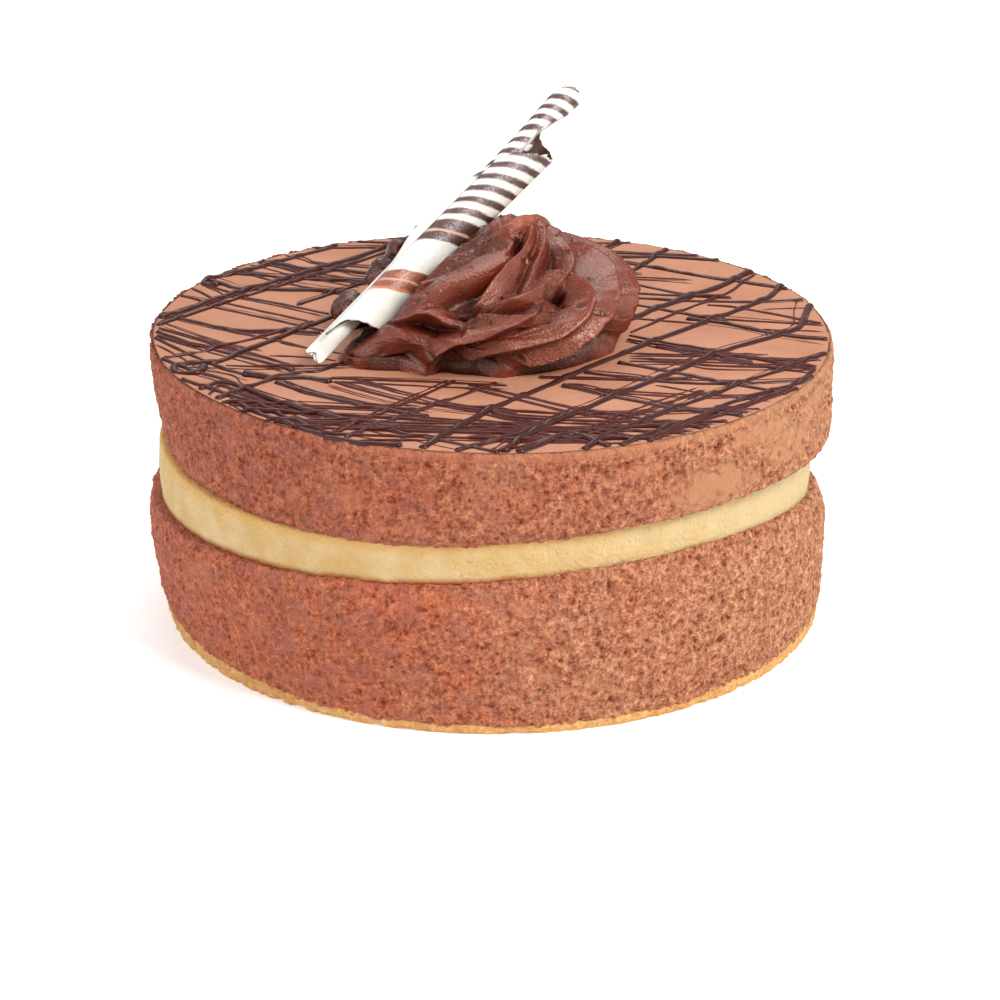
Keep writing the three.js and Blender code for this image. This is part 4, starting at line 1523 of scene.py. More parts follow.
@dataclass
class ChocolateScroll:
    """A sheet of striped chocolate wound into a roll: a loose wrap, then a tight core.

    Turns are in degrees round the roll, from across towards out. A place on the sheet is how many
    degrees it is wound in from the free edge, and its distance from the foot along the roll.
    """

    foot: Vector = field(default_factory=lambda: Vector((-38.4, -22.3, 66.3)))
    tip: Vector = field(default_factory=lambda: Vector((17.9, 46.5, 106.9)))
    to_viewer: Vector = field(default_factory=lambda: Vector((0, -0.927, 0.377)))
    thickness: float = 0.7
    core_radius: float = 2.1
    core_flare: float = 0.15
    tip_flare: float = 0.8
    core_tightens: float = 1.0
    wrap_radius: float = 4.25
    wrap_flare: float = 0.95
    mouth_flare: float = 0.8
    wrap_shift: float = 1.37
    shift_grows: float = 1.16
    free_edge: float = 137.0
    wound_degrees: float = 677.0
    wrap_ends_at: float = 172.0
    core_starts_at: float = 332.0
    mouth: tuple = ((0, 4), (6, 7.5), (17, 9.7), (57, 12.1), (79, 13), (118, 15.4), (142, 17.5),
                    (170, 20), (227, 20), (300, 12))
    wrap_end: tuple = ((12, 69.3), (25, 71.8), (47, 73.5), (68, 75.6), (88, 77.5), (130, 79.8),
                       (173, 83.3), (240, 88), (275, 84))
    core_end: float = 80.0
    tip_twist: float = 80.0
    columns: int = 150
    rows: int = 224
    stripe_slope: float = 0.82
    stripe_pitch: float = 4.4
    stripe_width: float = 2.2
    stripes_from: float = 50.0
    broad_stripes: tuple = ((40.6, 43.8), (44.4, 48.0))
    bands: tuple = ((23.2, 25.9), (26.3, 29.5))
    # The caramel-orange edge, a thin orange line, and a painted sheen line between the two bands.
    orange_lines_and_sheen: tuple = ((22.6, 23.4, 1.0), (43.75, 44.45, 0.6), (25.85, 26.35, 0.6))
    lap_at: float = 320.0
    lap_bulge: float = 1.7

    def __post_init__(self) -> None:
        """Works out the roll's own directions: along, across to the right and out to the front."""
        self.length = (self.tip - self.foot).length
        self.along = (self.tip - self.foot).normalized()
        self.across = self.along.cross(self.to_viewer).normalized()
        self.out = self.across.cross(self.along).normalized()

    def shift(self, distance: Array) -> Array:
        """Gives how far the wrap's centre stands to the right of the core's."""
        return self.wrap_shift + self.shift_grows * distance / self.length + self.flaring(distance)

    def flaring(self, distance: Array) -> Array:
        """Gives how much wider the wrap opens towards its mouth."""
        return self.mouth_flare * smoothstep(distance, 28.0, 14.0)

    def outside(self, distance: Array) -> Array:
        """Gives the radius of the wrap's outer face."""
        wrap = self.wrap_radius + self.wrap_flare * distance / self.length
        return wrap + self.flaring(distance) + 0.5 * self.thickness

    def wound_in(self, wound: Array) -> Array:
        """Gives 0 in the wrap and 1 in the core."""
        return smoothstep(wound, self.wrap_ends_at, self.core_starts_at)

    def turn(self, wound: Array, distance: Array) -> Array:
        """Gives the turn that each place on the sheet faces, where the tip twists open."""
        twist = self.tip_twist * self.wound_in(wound) * smoothstep(distance, 82.0, 97.0)
        return self.free_edge - wound - twist

    def surface(self, wound: Array, distance: Array, offset: Array) -> Array:
        """Places points of the sheet.

        Args:
            wound: How many degrees each is wound in.
            distance: How far along the roll each is, in millimetres.
            offset: How far each stands outside the middle of the sheet.

        Returns:
            The points in millimetres, one row each.
        """
        share = distance / self.length
        inward = self.wound_in(wound)
        tightening = self.core_tightens * smoothstep(wound, self.core_starts_at, self.wound_degrees)
        flare = self.core_flare * share + self.tip_flare * smoothstep(share, 0.8, 1.0)
        core = self.core_radius + flare - tightening
        lapped = bell(wound, self.lap_at, 35.0) * smoothstep(distance, 66, 58)
        core = core + self.lap_bulge * lapped * smoothstep(distance, 30, 42)
        radius = mix(self.outside(distance) - 0.5 * self.thickness, core, inward) + offset
        turn = np.radians(self.turn(wound, distance))
        side = mix(self.shift(distance), -0.3 * smoothstep(share, 0.6, 1.0), inward)
        side = side + radius * np.cos(turn)
        pinched = mix(1.0, 0.12, smoothstep(distance, 8.0, 0.0) * inward)
        out = radius * np.sin(turn) * pinched
        return self.at(distance, side, out)

    def at(self, distance: Array, side: Array, out: Array) -> Array:
        """Gives points by their distance along the roll, across it and out from it."""
        return (np.array(self.foot) + distance[:, None] * np.array(self.along)
                + side[:, None] * np.array(self.across) + out[:, None] * np.array(self.out))

    def start(self, wound: Array) -> Array:
        """Gives where the sheet starts along the roll."""
        mouth = np.interp(wound, *zip(*self.mouth))
        return mix(mouth, 0.6 * np.sin(np.radians(3 * wound)), self.wound_in(wound))

    def end(self, wound: Array) -> Array:
        """Gives where the sheet ends along the roll."""
        turn = (self.free_edge - wound) % 360
        facing = smoothstep(turn, 55, 75) * (1 - smoothstep(turn, 250, 275))
        core = mix(self.core_end, self.length, facing)
        return mix(np.interp(wound, *zip(*self.wrap_end)), core, self.wound_in(wound))

    def marks(self, wound: Array, distance: Array) -> dict[str, Array]:
        """Works out what the finish shows at each place on the sheet.

        Args:
            wound: How many degrees each is wound in.
            distance: How far along the roll each is, in millimetres.

        Returns:
            How much each shows of the stripes, the double band, the orange lines beside them with one
            painted sheen line, and the silvery dust with its painted sheen.
        """
        arc = (np.radians(np.minimum(wound, 250.0) - 47.0) * 4.6
               + np.radians(np.maximum(wound - 250.0, 0.0)) * 2.25)
        sheet = np.stack([arc, distance, 0 * arc], 1)
        along = distance - self.stripe_slope * arc
        along = along + 0.3 * perlin(sheet, (5.0, 2.5, 1.0), 2.0) + 0.1 * perlin(sheet, 0.7, 4.0)
        phase = (along - self.stripes_from) % self.stripe_pitch
        stripe = stripe_between(phase, 0.11, self.stripe_width) * (along > self.stripes_from - 1.0)
        stripe += sum(stripe_between(along, *ends) for ends in self.broad_stripes)
        band = sum(stripe_between(along, *ends) for ends in self.bands)
        orange_line_and_sheen = sum(share * stripe_between(along, *ends) for *ends, share in self.orange_lines_and_sheen)
        plain = 1 - smoothstep(wound, 290, 310) * smoothstep(distance, 63.0, 61.0)
        # A painted sheen down the middle of the roll, where it faces the front; the finish breaks it
        # with dust.
        sheen = bell(self.turn(wound, distance) % 360.0, 86.0, 20.0)
        sheen = sheen * (0.85 + 0.5 * perlin(sheet, (6.0, 2.0, 1.0), 6.0))
        shown = {"stripe": stripe, "band": band, "orange_line_and_sheen": orange_line_and_sheen}
        shown = {name: np.clip(values, 0, 1) * plain for name, values in shown.items()}
        return {**shown, "dust_and_sheen": np.clip(sheen, 0, 1)}

    def build(self) -> Object:
        """Makes the scroll: the sheet's outer face, then its lining, meeting along the rim.

        Returns:
            The piece.
        """
        bm = bmesh.new()
        faces = 2 * self.columns + 2
        verts, across, up = grid_sheet(bm, faces, self.rows + 2)
        column = np.rint(across * faces).astype(int)
        row = np.rint(up * (self.rows + 2)).astype(int)
        lined = (column > self.columns) & (column < faces)
        step = np.where(lined, faces - 1 - column, np.where(column == faces, 0, column))
        wound = self.wound_degrees * step / self.columns
        rag = in_a_row(wound / 12.0)
        start = self.start(wound) + 0.35 * perlin(rag, 1.0, 3.1)
        end = self.end(wound) + 0.7 * perlin(rag, 1.0, 5.2) + 0.4 * perlin(rag, 0.35, 7.7)
        distance = mix(start, end, np.clip((row - 1) / self.rows, 0, 1))
        offset = np.where(lined, -0.5, 0.5) * self.thickness
        offset[(row == 0) | (row == self.rows + 2)] = 0.0
        place_verts(verts, self.surface(wound, distance, offset))
        # The inner face takes that dark brown, partly painted shade, except low on the core.
        lining_and_shade = lined * (1 - self.wound_in(wound) * smoothstep(distance, 14.0, 8.0))
        carry(bm, {**self.marks(wound, distance), "lining_and_shade": lining_and_shade})
        piece = finish_mesh("striped_scroll", sewn(bm), StripedChocolate().material())
        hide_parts("chocolate_scroll")
        return piece


# ---- the frosting swirl ----


@dataclass(frozen=True)
class Fold:
    """A fold of the frosting, left by a tooth of the star nozzle.

    Its crest runs through places on the swirl, each a bearing, a height above the cake and how far
    the crest stands up. It falls away over one width on its upper side and another on its lower
    one, hollow where the sharpness is above 1 and full where it is below. A dent has a crest below
    zero.
    """

    places: tuple[tuple[float, float, float], ...]
    above: float
    below: float
    sharpness: float = 1.4
    droop: float = 0.0


FOLDS = (
    Fold(((277, 0.8, 2.0), (284, 3.7, 4.0), (292, 5.5, 4.9), (300, 7.7, 5.3), (308, 10.3, 5.4),
          (314, 12.3, 5.4), (320, 14.3, 5.4), (327, 16.4, 5.3), (337, 18.5, 5.0), (351, 20, 4.8),
          (361, 21.2, 4.4), (358, 22.5, 3.6), (340, 23.7, 2.4)), 6.2, 4.8, 1.9, 1.8),
    Fold(((331, 0.4, 2.4), (337, 1.5, 3.4), (340, 4.5, 4.4), (343, 8.4, 4.9), (347, 12.7, 5.2),
          (353, 16, 5.2), (366, 18.8, 4.8), (385, 21, 4.2), (405, 23, 3.0)), 6.6, 5.2, 1.8, 1.5),
    Fold(((258, 0.6, 1), (262, 3.0, 2.8), (268, 5.6, 3.6), (276, 7.7, 4.2), (286, 8.6, 4.5),
          (297, 9.9, 4.9), (307, 12.8, 5.3), (312, 15.1, 5.5), (315, 17.5, 5.3), (314, 19.3, 4.7),
          (308, 20.9, 3.6)), 5.0, 3.4, 0.9, 0.6),
    Fold(((243, 0.4, 4), (246, 5, 5.4), (250, 8, 5.8), (255, 10.3, 5.7), (261, 11, 5.4),
          (266, 11.6, 5.1), (273, 13.4, 4.7), (281, 14.7, 4.2), (287, 16.2, 3.6), (293, 17.3, 2.2)),
         5.0, 4.5, 1.3, 1.2),
    Fold(((258, 16.9, 3.0), (261, 18.9, 4.4), (264, 20.3, 4.9), (270, 22.3, 4.8), (282, 23.9, 4.4),
          (296, 25.3, 3.8), (306, 26.2, 3.0), (325, 27.0, 2.2)), 1.8, 4.6, 1.1),
    Fold(((282, 20, 2.4), (290, 22.3, 4.0), (304, 24, 4.2), (323, 25.4, 3.8), (350, 26.7, 2.8),
          (409, 27.3, 1.6)), 2.6, 3.6, 1.2, 0.4),
    Fold(((292, 18.6, 2.4), (306, 20.1, 4.2), (316, 21, 4.6), (325, 22.1, 4.6), (338, 23.8, 4.2),
          (368, 24.9, 3.6), (394, 25.9, 2.4)), 3.0, 3.6, 1.3, 0.8),
    Fold(((229, 12.5, 3.2), (234, 14.2, 4.4), (239, 17.2, 5.4), (242, 18.7, 5.8), (253, 20.5, 5.5),
          (261, 21.8, 5.0), (269, 22.9, 4.6), (276, 24.2, 3.6), (274, 25.4, 2.4), (262, 26.3, 1.4)),
         10.0, 1.7, 0.5),
    Fold(((239, 16.2, 0.6), (246, 19.2, 1.2), (263, 21.4, 0.6)), 1.6, 1.6, 1.0),
    Fold(((226, 11.6, 3), (233, 13, 4.8), (236, 14.1, 5.2), (242, 14.6, 5.2), (247, 14.1, 4.6),
          (250, 13.3, 3)), 4.0, 1.6, 0.7, 0.8),
    Fold(((208, 1, 2), (216, 4, 3), (226, 7.5, 4.2), (236, 8.6, 4.2), (244, 7, 3)), 6.0, 6.0, 0.7),
    Fold(((262, 16.0, 3.6), (276, 17.4, 4.4), (288, 18.6, 4.5), (298, 20.2, 3.8)), 3.4, 2.6, 0.7),
    Fold(((225, 26.2, 1.2), (256, 27.4, 2.0), (325, 28.0, 2.4), (372, 27.2, 3.2), (390, 25.2, 3.8),
          (402, 22.5, 3.8), (412, 19, 3.0)), 2.6, 3.8, 1.3),
)
DENTS = (
    Fold(((297, 18.7, -6), (301, 18.6, -6)), 2.0, 2.0, 0.9),
    Fold(((250, 15.4, -1.5), (257, 16.2, -3), (270, 16.5, -3), (287, 16.6, -2)), 1.3, 1.3, 1.0),
    Fold(((286, 26.1, -1.2), (281, 25.2, -2.4), (276, 24.4, -2.4), (270, 23.6, -1)), 1.0, 1.0, 1.0),
    Fold(((236, 12.2, -1), (246, 12.0, -2.5), (256, 12.6, -2)), 1.6, 1.6, 1.0),
    Fold(((253, 0.2, -2.6), (262, 0.8, -2.6), (270, 1.6, -2.0)), 2.6, 2.6, 1.0),
)
TORN_PATCHES = (
    Fold(((284, 19.2, 1), (303, 20.8, 1)), 2.6, 2.6, 0.5),
    Fold(((263, 14.2, 1), (274, 15.4, 1), (285, 16.2, 1)), 1.9, 1.9, 0.5),
    Fold(((272, 4.0, 1), (286, 5.6, 1), (302, 7.4, 1)), 2.6, 2.2, 0.5),
    Fold(((314, 5.6, 0.7), (324, 7.4, 0.7), (335, 8.6, 0.7)), 2.2, 2.6, 0.5),
    Fold(((288, 14.8, 0.8), (298, 15.6, 0.8)), 2.2, 2.2, 0.5),
)


@dataclass(frozen=True)
class Knob:
    """A lump of frosting that the scroll pushed up: its place, its size along, across and out."""

    place: tuple[float, float, float]
    size: tuple[float, float, float]
    tilt: float = 0.0


KNOBS = (
    Knob((-32.5, 6.0, 68.0), (4.5, 3.2, 3.4)),
    Knob((-25.5, 13.5, 74.0), (3.4, 3.0, 4.2), 20.0),
    Knob((-21.5, 13.5, 79.0), (2.9, 2.5, 5.2), -25.0),
    Knob((-22.8, 12.5, 75.5), (4.4, 3.0, 4.0)),
    Knob((-15.5, 14.5, 83.0), (2.2, 2.4, 4.4), -20.0),
)


@dataclass
class FrostingSwirl:
    """A swirl of frosting: a dome that folds run round and up to the peak, as they left the nozzle."""

    scroll: ChocolateScroll
    centre: tuple[float, float] = (-1.0, 2.0)
    peak_shift: tuple[float, float] = (5.0, -1.0)
    profile: tuple = ((30.0, 0), (31.6, 1.5), (33.2, 4), (34.0, 7), (33.6, 10), (32.0, 13),
                      (28.8, 16), (24.0, 18.8), (18.5, 21.1), (13.4, 23.4), (9.0, 25.6), (5.4, 27.4),
                      (2.4, 28.3), (0.0, 28.5))
    scroll_bearing: float = 172.0
    smear_bearing: float = 219.0
    smear_reach: float = 8.0
    lean_starts_at: float = 6.0
    lean_ends_at: float = 25.0
    valley: float = 4.8
    back_folds: tuple[float, ...] = (5.0, 36.0, 68.0, 101.0, 134.0, 166.0)
    back_sweep: float = 62.0
    columns: int = 384
    rows: int = 236
    front: float = 285.0
    crowding: float = 24.0
    scroll_clearance: float = 0.3
    trough_opening: float = 40.0
    hug: float = 34.0
    hug_reach: float = 8.0

    def __post_init__(self) -> None:
        """Measures the dome's profile along its slope."""
        outline = np.array(self.profile)
        self.slope = walked_along(outline)
        self.radii, self.heights = outline.T

    def place(self, bearing: Array, slope: Array) -> Array:
        """Gives places on the dome, which leans more the higher it goes.

        Args:
            bearing: Each place's bearing round the middle.
            slope: How far up the slope each place is, in millimetres.

        Returns:
            The places, one row each.
        """
        radius = np.interp(slope, self.slope, self.radii)
        height = np.interp(slope, self.slope, self.heights)
        behind_scroll = bell(turn_from(bearing, self.scroll_bearing), 0.0, 32.0)
        radius = radius * (1 - 0.12 * behind_scroll * smoothstep(height, 0.0, 8.0))
        smeared = bell(bearing, self.smear_bearing, 16.0)
        radius = radius + self.smear_reach * smeared * smoothstep(height, 9.0, 1.0)
        lean = smoothstep(height, self.lean_starts_at, self.lean_ends_at)
        turn = np.radians(bearing)
        return np.stack([
            radius * np.cos(turn) + self.centre[0] + self.peak_shift[0] * lean,
            radius * np.sin(turn) + self.centre[1] + self.peak_shift[1] * lean,
            CAKE_HEIGHT + height,
        ], 1)

    def normal(self, bearing: Array, slope: Array) -> Array:
        """Gives the dome's outward direction.

        Args:
            bearing: Each place's bearing round the middle.
            slope: How far up the slope each place is, in millimetres.

        Returns:
            The direction at each place.
        """
        round_it = self.place(bearing + 0.5, slope) - self.place(bearing - 0.5, slope)
        up_it = self.place(bearing, slope + 0.6) - self.place(bearing, slope - 0.6)
        out = np.cross(round_it, up_it)
        out[:, 2] += 1e-9
        return out / np.linalg.norm(out, axis=1, keepdims=True)

    def back(self) -> list[Fold]:
        """Makes the folds behind, which the same nozzle left evenly spaced.

        Returns:
            The folds.
        """
        folds = []
        for number, bearing in enumerate(self.back_folds):
            heights = np.array((0.5, 3.0, 6.0, 9.0, 12.0, 15.0, 18.0, 20.5, 22.5, 24.5))
            bearings = bearing + self.back_sweep * (heights / 20.0) ** 1.3
            crests = np.interp(heights, (0.5, 4, 18, 24.5), (1.8, 3.9, 4.0, 1.6))
            places = tuple(zip(bearings.tolist(), heights.tolist(), crests.tolist()))
            folds.append(Fold(places, 7.5 - 0.4 * (number % 2), 5.5, 1.4, 0.8))
        return folds

    def crest_line(self, fold: Fold) -> tuple[Array, Array, Array, Array]:
        """Draws a fold's crest on the dome.

        Args:
            fold: The fold.

        Returns:
            Its places, each with the direction of its upper side, its crest and how far along it is.
        """
        bearing, height, crest = np.array(fold.places, float).T
        steps = np.linspace(0, 1, len(bearing))
        fine = np.linspace(0, 1, 30 * (len(bearing) - 1) + 1)
        bearing, height, crest = (np.interp(fine, steps, v) for v in (bearing, height, crest))
        kernel = np.hanning(35) / np.hanning(35).sum()
        smooth = [np.convolve(np.pad(v, 17, mode="reflect", reflect_type="odd"), kernel, "valid")
                  for v in (bearing, height, crest)]
        bearing, height, crest = smooth
        slope = np.interp(height, self.heights, self.slope)
        line = self.place(bearing, slope)
        along = np.gradient(line, axis=0)
        walked = np.cumsum(np.linalg.norm(along, axis=1))
        upper = np.cross(self.normal(bearing, slope), along)
        upper /= np.linalg.norm(upper, axis=1, keepdims=True) + 1e-9
        return line, upper, crest, walked

    def fall(self, fold: Fold, places: Array) -> tuple[Array, Array, Array, Array]:
        """Works out how high a fold stands at each place on the dome.

        Args:
            fold: The fold.
            places: The places.

        Returns:
            Its height, the direction of its upper side, and each place's coordinates across the
            fold and along it.
        """
        line, upper, crest, walked = self.crest_line(fold)
        reach = max(fold.above, fold.below)
        near = ((places > line.min(0) - reach) & (places < line.max(0) + reach)).all(1)
        rise, across, along = (np.zeros(len(places)) for _ in range(3))
        side = np.zeros((len(places), 3))
        index = np.nonzero(near)[0]
        for part in np.array_split(index, max(1, len(index) // 4000)):
            if not len(part):
                continue
            apart = places[part][:, None, :] - line[None, :, :]
            distance = np.einsum("ijk,ijk->ij", apart, apart)
            nearest = distance.argmin(1)
            away = np.sqrt(distance[np.arange(len(part)), nearest])
            signed = np.einsum("ij,ij->i", apart[np.arange(len(part)), nearest], upper[nearest])
            width = np.where(signed > 0, fold.above, fold.below)
            soft = np.sqrt(away ** 2 + 0.16 ** 2) - 0.16
            shape = np.clip(1 - soft / width, 0, 1)
            if fold.sharpness < 1:
                shape = mix(rounded(shape), shape, fold.sharpness)
            else:
                shape = shape ** fold.sharpness
            rise[part] = crest[nearest] * shape
            side[part] = upper[nearest]
            across[part] = np.sign(signed) * away
            along[part] = walked[nearest]
        return rise, side, across, along

    def dome(self, bm: BMesh) -> dict[str, Array]:
        """Adds the dome with its folds, closed underneath.

        Args:
            bm: The mesh that takes it.

        Returns:
            A number for each vertex by name.
        """
        verts, across, up = grid_sheet(bm, self.columns, self.rows + 1)
        row = np.rint(up * (self.rows + 1)).astype(int)
        bearing = self.front - 180.0 + 360.0 * across
        bearing = (bearing + self.crowding * np.sin(2 * np.pi * (across % 1.0))) % 360.0
        slope = self.slope[-1] * np.clip((row - 1) / self.rows, 0, 1)
        places = self.place(bearing, slope)
        out = self.normal(bearing, slope)
        radius = np.interp(slope, self.slope, self.radii)
        best = np.zeros(len(places))
        lean = np.zeros_like(places)
        grain = places.copy()
        for number, fold in enumerate((*FOLDS, *self.back())):
            rise, side, beside, along = self.fall(fold, places)
            won = rise > best
            best = np.where(won, rise, best)
            lean[won] = -fold.droop * side[won] * (rise[won] / 4.0)[:, None] ** 2
            grain[won] = np.stack([beside, along, np.full(len(along), 7.0 * number)], 1)[won]
        valley = np.minimum(self.valley, 0.4 * radius) * smoothstep(slope, -1.0, 4.0)
        dent = np.zeros(len(places))
        for fold in DENTS:
            dent = np.minimum(dent, self.fall(fold, places)[0])
        torn = np.zeros(len(places))
        for fold in TORN_PATCHES:
            torn = np.maximum(torn, self.fall(fold, places)[0])
        torn = smoothstep(torn + 0.25 * perlin(places, 2.2, 3.0), 0.25, 0.7)
        streaks = perlin(grain, (0.8, 14.0, 5.0), 1.0) + 0.6 * perlin(grain, (0.4, 9.0, 5.0), 2.0)
        lumps = 0.3 * perlin(places, 9.0, 4.0) + 0.12 * perlin(places, 3.0, 5.0)
        holes = pores(places + 0.3 * perlin(places, 1.5, 8.0)[:, None], (2.0, 2.0, 1.3), 0.16, 6.0)
        holes = np.maximum(holes, pores(places, 1.1, 0.12, 7.0) * (0.3 + 0.7 * torn))
        rough = torn * (0.22 * perlin(places, 0.9, 9.0) + 0.3 * perlin(places, 1.9, 10.0))
        push = best - valley + dent + lumps + 0.12 * streaks - 0.5 * holes + rough
        places = self.hugging(places + out * push[:, None] + lean)
        places[:, 2] = np.maximum(places[:, 2], CAKE_HEIGHT)
        middle = row == 0
        places[middle] = (*self.centre, CAKE_HEIGHT)
        places[row == 1, 2] = CAKE_HEIGHT
        place_verts(verts, places)
        # rise sets the painted shade in the folds and the painted highlight on the crests and near the
        # peak; the holes carry painted shade.
        rise = (best + dent) / valley.clip(0.5)
        return {
            "rise": np.clip(0.5 * rise + 0.5 * smoothstep(radius, 9.0, 3.0), 0, 1), "pit_shade": holes,
            "torn": torn, "across": grain[:, 0], "along": grain[:, 1],
        }

    def hugging(self, places: Array) -> Array:
        """Draws the frosting up against the right side of the scroll that was pushed into it.

        Args:
            places: Each point of the frosting.

        Returns:
            The points, moved.
        """
        scroll = self.scroll
        apart = places - np.array(scroll.foot)
        ways = (scroll.along, scroll.across, scroll.out)
        distance, side, out = (apart @ np.array(way) for way in ways)
        radius = scroll.outside(distance)
        side = side - scroll.shift(distance)
        share = smoothstep(side, radius + self.hug_reach, radius) * smoothstep(side, -radius, 0.0)
        share = share * smoothstep(distance, 12.0, 19.0) * smoothstep(distance, 70.0, 58.0)
        low = radius * math.sin(math.radians(self.hug))
        lift = share * np.clip(low - out, 0.0, 7.0)
        return places + lift[:, None] * np.array(scroll.out)

    def knob(self, knob: Knob) -> BMesh:
        """Makes one of the lumps behind the scroll, with a torn, uneven skin.

        Args:
            knob: The lump.

        Returns:
            Its mesh.
        """
        scroll = self.scroll
        basis = Matrix((scroll.along, scroll.across, scroll.out)).transposed().to_4x4()
        turn = Matrix.Rotation(math.radians(knob.tilt), 4, "Y")
        shape = Matrix.Translation(knob.place) @ basis @ turn @ Matrix.Diagonal((*knob.size, 1.0))
        bm = bmesh.new()
        verts = bmesh.ops.create_icosphere(bm, subdivisions=4, radius=1.0)["verts"]
        unit = np.array([v.co for v in verts])
        flat_place = np.array([shape @ Vector(u) for u in unit])
        push = 0.2 * perlin(flat_place, 3.2, 1.0) + 0.12 * perlin(flat_place, 1.3, 2.0)
        place_verts(verts, np.array([shape @ Vector(u) for u in unit * (1 + push)[:, None]]))
        return bm

    def trough(self) -> Object:
        """Makes the room that the scroll takes up, open towards the front.

        Returns:
            A helper object, to be cut from the frosting.
        """
        scroll = self.scroll
        bm = bmesh.new()
        verts, across, up = grid_sheet(bm, 48, 42)
        row = np.rint(up * 42).astype(int)
        distance = -3.0 + np.clip((row - 1) / 40, 0, 1) * (scroll.length - 7.0)
        wrapped = smoothstep(distance, 8.0, 15.0)
        radius = mix(scroll.core_radius + 0.5, scroll.outside(distance), wrapped)
        radius = radius + self.scroll_clearance
        turn = np.radians(180.0 + (180.0 + self.hug) * np.clip(across / 0.75, 0, 1))
        grip = math.cos(math.radians(self.hug))
        corner = 4.0 * np.clip(across - 0.75, 0, 1)
        walls = (0.0, 1 / 3, 2 / 3, 1.0)
        opening = np.interp(corner, walls, (grip, grip, -1.1, -1.0))
        side = radius * np.where(corner > 0, opening, np.cos(turn))
        lifted = np.interp(corner, walls, (0.0, 1.0, 1.0, 0.0)) * self.trough_opening
        low = np.interp(corner, walls, (math.sin(math.radians(self.hug)), 0, 0, 0)) * radius
        out = np.where(corner > 0, lifted + low, radius * np.sin(turn))
        closed = (row == 0) | (row == 42)
        side, out = np.where(closed, 0.0, side), np.where(closed, 0.0, out)
        side = side + wrapped * (scroll.shift(distance))
        place_verts(verts, scroll.at(distance, side, out))
        return loose_piece("scroll_room", sewn(bm, 1e-3))

    def pressed(self, bm: BMesh) -> BMesh:
        """Presses the scroll into a closed mesh.

        Args:
            bm: The mesh, which is freed.

        Returns:
            What is left of it.
        """
        shape = loose_piece("frosting_shape", bm)
        room = self.trough()
        cut = shape.modifiers.new("pressed", "BOOLEAN")
        cut.operation = "DIFFERENCE"
        cut.object = room
        cut.solver = "MANIFOLD"
        solid = shape.evaluated_get(bpy.context.evaluated_depsgraph_get()).to_mesh()
        left = bmesh.new()
        left.from_mesh(solid)
        shape.to_mesh_clear()
        bpy.data.objects.remove(shape)
        bpy.data.objects.remove(room)
        return left

    def build(self) -> Object:
        """Makes the swirl.

        Returns:
            The piece.
        """
        bm = bmesh.new()
        carry(bm, self.dome(bm))
        bm = self.pressed(sewn(bm))
        for knob in KNOBS:
            lump = self.knob(knob)
            mesh = bpy.data.meshes.new("knob")
            lump.to_mesh(mesh)
            lump.free()
            bm.from_mesh(mesh)
            bpy.data.meshes.remove(mesh)
        piece = finish_mesh("piped_swirl", bm, PipedFrosting().material())
        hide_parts("frosting_swirl")
        return piece


# ---- the studio ----


@dataclass(frozen=True)
class Softbox:
    """A square soft light: where it hangs and its side in millimetres, and its power in watts."""

    name: str
    place: tuple[float, float, float]
    side: float
    power: float
    colour: str


LIGHTS = (
    Softbox("key", (420, -380, 620), 300, 5.3, "#FFFAF4"),
    Softbox("glint", (330, -250, 700), 70, 0.9, "#FFFFFF"),
    Softbox("right_fill", (720, -80, 200), 240, 1.0, "#FFFAF4"),
    Softbox("left_fill", (-600, -350, 350), 500, 2.2, "#FBFBFF"),
    Softbox("top_back", (-80, 420, 620), 400, 2.0, "#FFFFFF"),
)


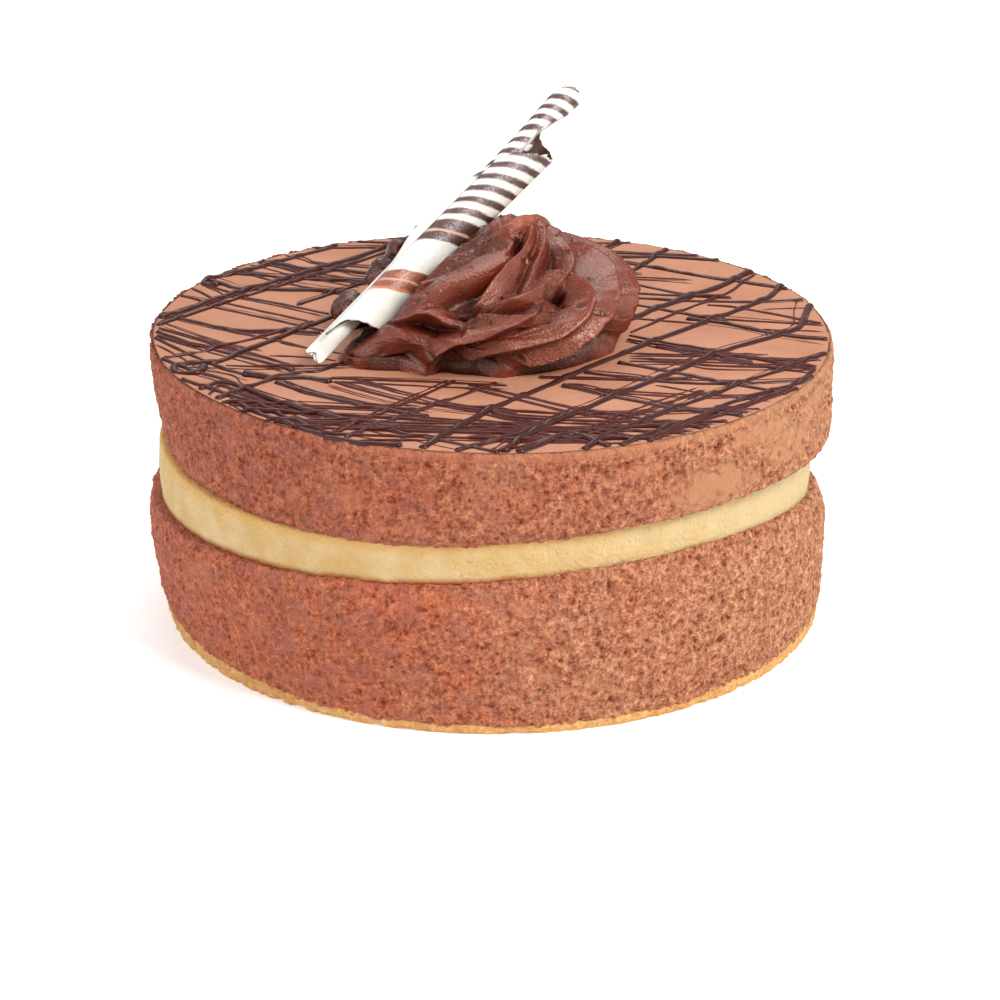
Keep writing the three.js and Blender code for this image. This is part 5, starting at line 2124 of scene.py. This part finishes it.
@dataclass
class Studio:
    """A pale floor under soft light, and the camera where the photograph was taken from."""

    target: tuple[float, float, float] = (2.29, 0.0, 23.93)
    distance: float = 762.0
    elevation: float = 22.142
    roll: float = 0.527
    lens: float = 119.66
    sensor: float = 36.0
    backdrop: float = 1.0
    fill: float = 0.5
    aim_height: float = 45.0
    floor_side: float = 5000.0
    floor_depth: float = 0.05
    floor_colour: str = "#F7F7F7"
    floor_roughness: float = 0.9
    floor_glow: float = 0.3

    def camera(self) -> None:
        """Sets the camera."""
        data = bpy.data.cameras.new("camera")
        data.lens, data.sensor_width, data.sensor_fit = self.lens, self.sensor, "HORIZONTAL"
        camera = bpy.data.objects.new("camera", data)
        bpy.context.scene.collection.objects.link(camera)
        tilt = math.radians(self.elevation)
        back = Vector((0, -math.cos(tilt), math.sin(tilt)))
        turn = Matrix.Rotation(math.radians(90 - self.elevation), 4, "X")
        turn = turn @ Matrix.Rotation(math.radians(self.roll), 4, "Z")
        place = (Vector(self.target) + back * self.distance) * MM
        camera.matrix_world = Matrix.Translation(place) @ turn
        bpy.context.scene.camera = camera

    def hang(self, box: Softbox) -> None:
        """Hangs a light, facing the cake.

        Args:
            box: The light.
        """
        data = bpy.data.lights.new(box.name, "AREA")
        data.shape, data.size, data.energy = "SQUARE", box.side * MM, box.power
        data.color = linear(box.colour)[:3]
        light = bpy.data.objects.new(box.name, data)
        bpy.context.scene.collection.objects.link(light)
        light.location = Vector(box.place) * MM
        aim = Vector((0, 0, self.aim_height * MM)) - light.location
        light.rotation_euler = aim.to_track_quat("-Z", "Y").to_euler()

    def floor(self) -> None:
        """Adds the pale floor, a little below the cake so that their faces don't meet."""
        bm = bmesh.new()
        bmesh.ops.create_grid(bm, x_segments=1, y_segments=1, size=0.5 * self.floor_side * MM)
        mesh = bpy.data.meshes.new("floor")
        bm.to_mesh(mesh)
        bm.free()
        floor = bpy.data.objects.new("floor", mesh)
        floor.location.z = -self.floor_depth * MM
        bpy.context.scene.collection.objects.link(floor)
        material = bpy.data.materials.new("white_paper")
        material.use_nodes = True
        shader = material.node_tree.nodes["Principled BSDF"]
        shader.inputs["Base Color"].default_value = linear(self.floor_colour)
        shader.inputs["Roughness"].default_value = self.floor_roughness
        shader.inputs["Emission Color"].default_value = (1.0, 1.0, 1.0, 1.0)
        shader.inputs["Emission Strength"].default_value = self.floor_glow
        mesh.materials.append(material)

    def surroundings(self) -> None:
        """Sets the white backdrop, which lights the cake less than it shows."""
        world = bpy.data.worlds.new("backdrop")
        bpy.context.scene.world = world
        world.use_nodes = True
        tree = world.node_tree
        tree.nodes.clear()
        path = add_node(tree, "ShaderNodeLightPath")
        strength = add_node(
            tree, "ShaderNodeMapRange",
            {"Value": path.outputs["Is Camera Ray"], "To Min": self.fill, "To Max": self.backdrop})
        shade = add_node(
            tree, "ShaderNodeBackground",
            {"Color": (1.0, 1.0, 1.0, 1.0), "Strength": strength.outputs["Result"]})
        add_node(tree, "ShaderNodeOutputWorld", {"Surface": shade.outputs["Background"]})

    def build(self) -> None:
        """Sets up the studio."""
        scene = bpy.context.scene
        scene.view_settings.view_transform = "Standard"
        self.camera()
        self.floor()
        self.surroundings()
        for box in LIGHTS:
            self.hang(box)


def main() -> None:
    """Builds the studio and the cake, in order."""
    logging.basicConfig(level=logging.INFO, format="%(name)s %(message)s")
    Studio().build()
    for layer in cake_layers():
        report(layer.build())
    for piece in Drizzle().build():
        report(piece)
    scroll = ChocolateScroll()
    report(scroll.build())
    report(FrostingSwirl(scroll).build())


if __name__ == "__main__":
    main()
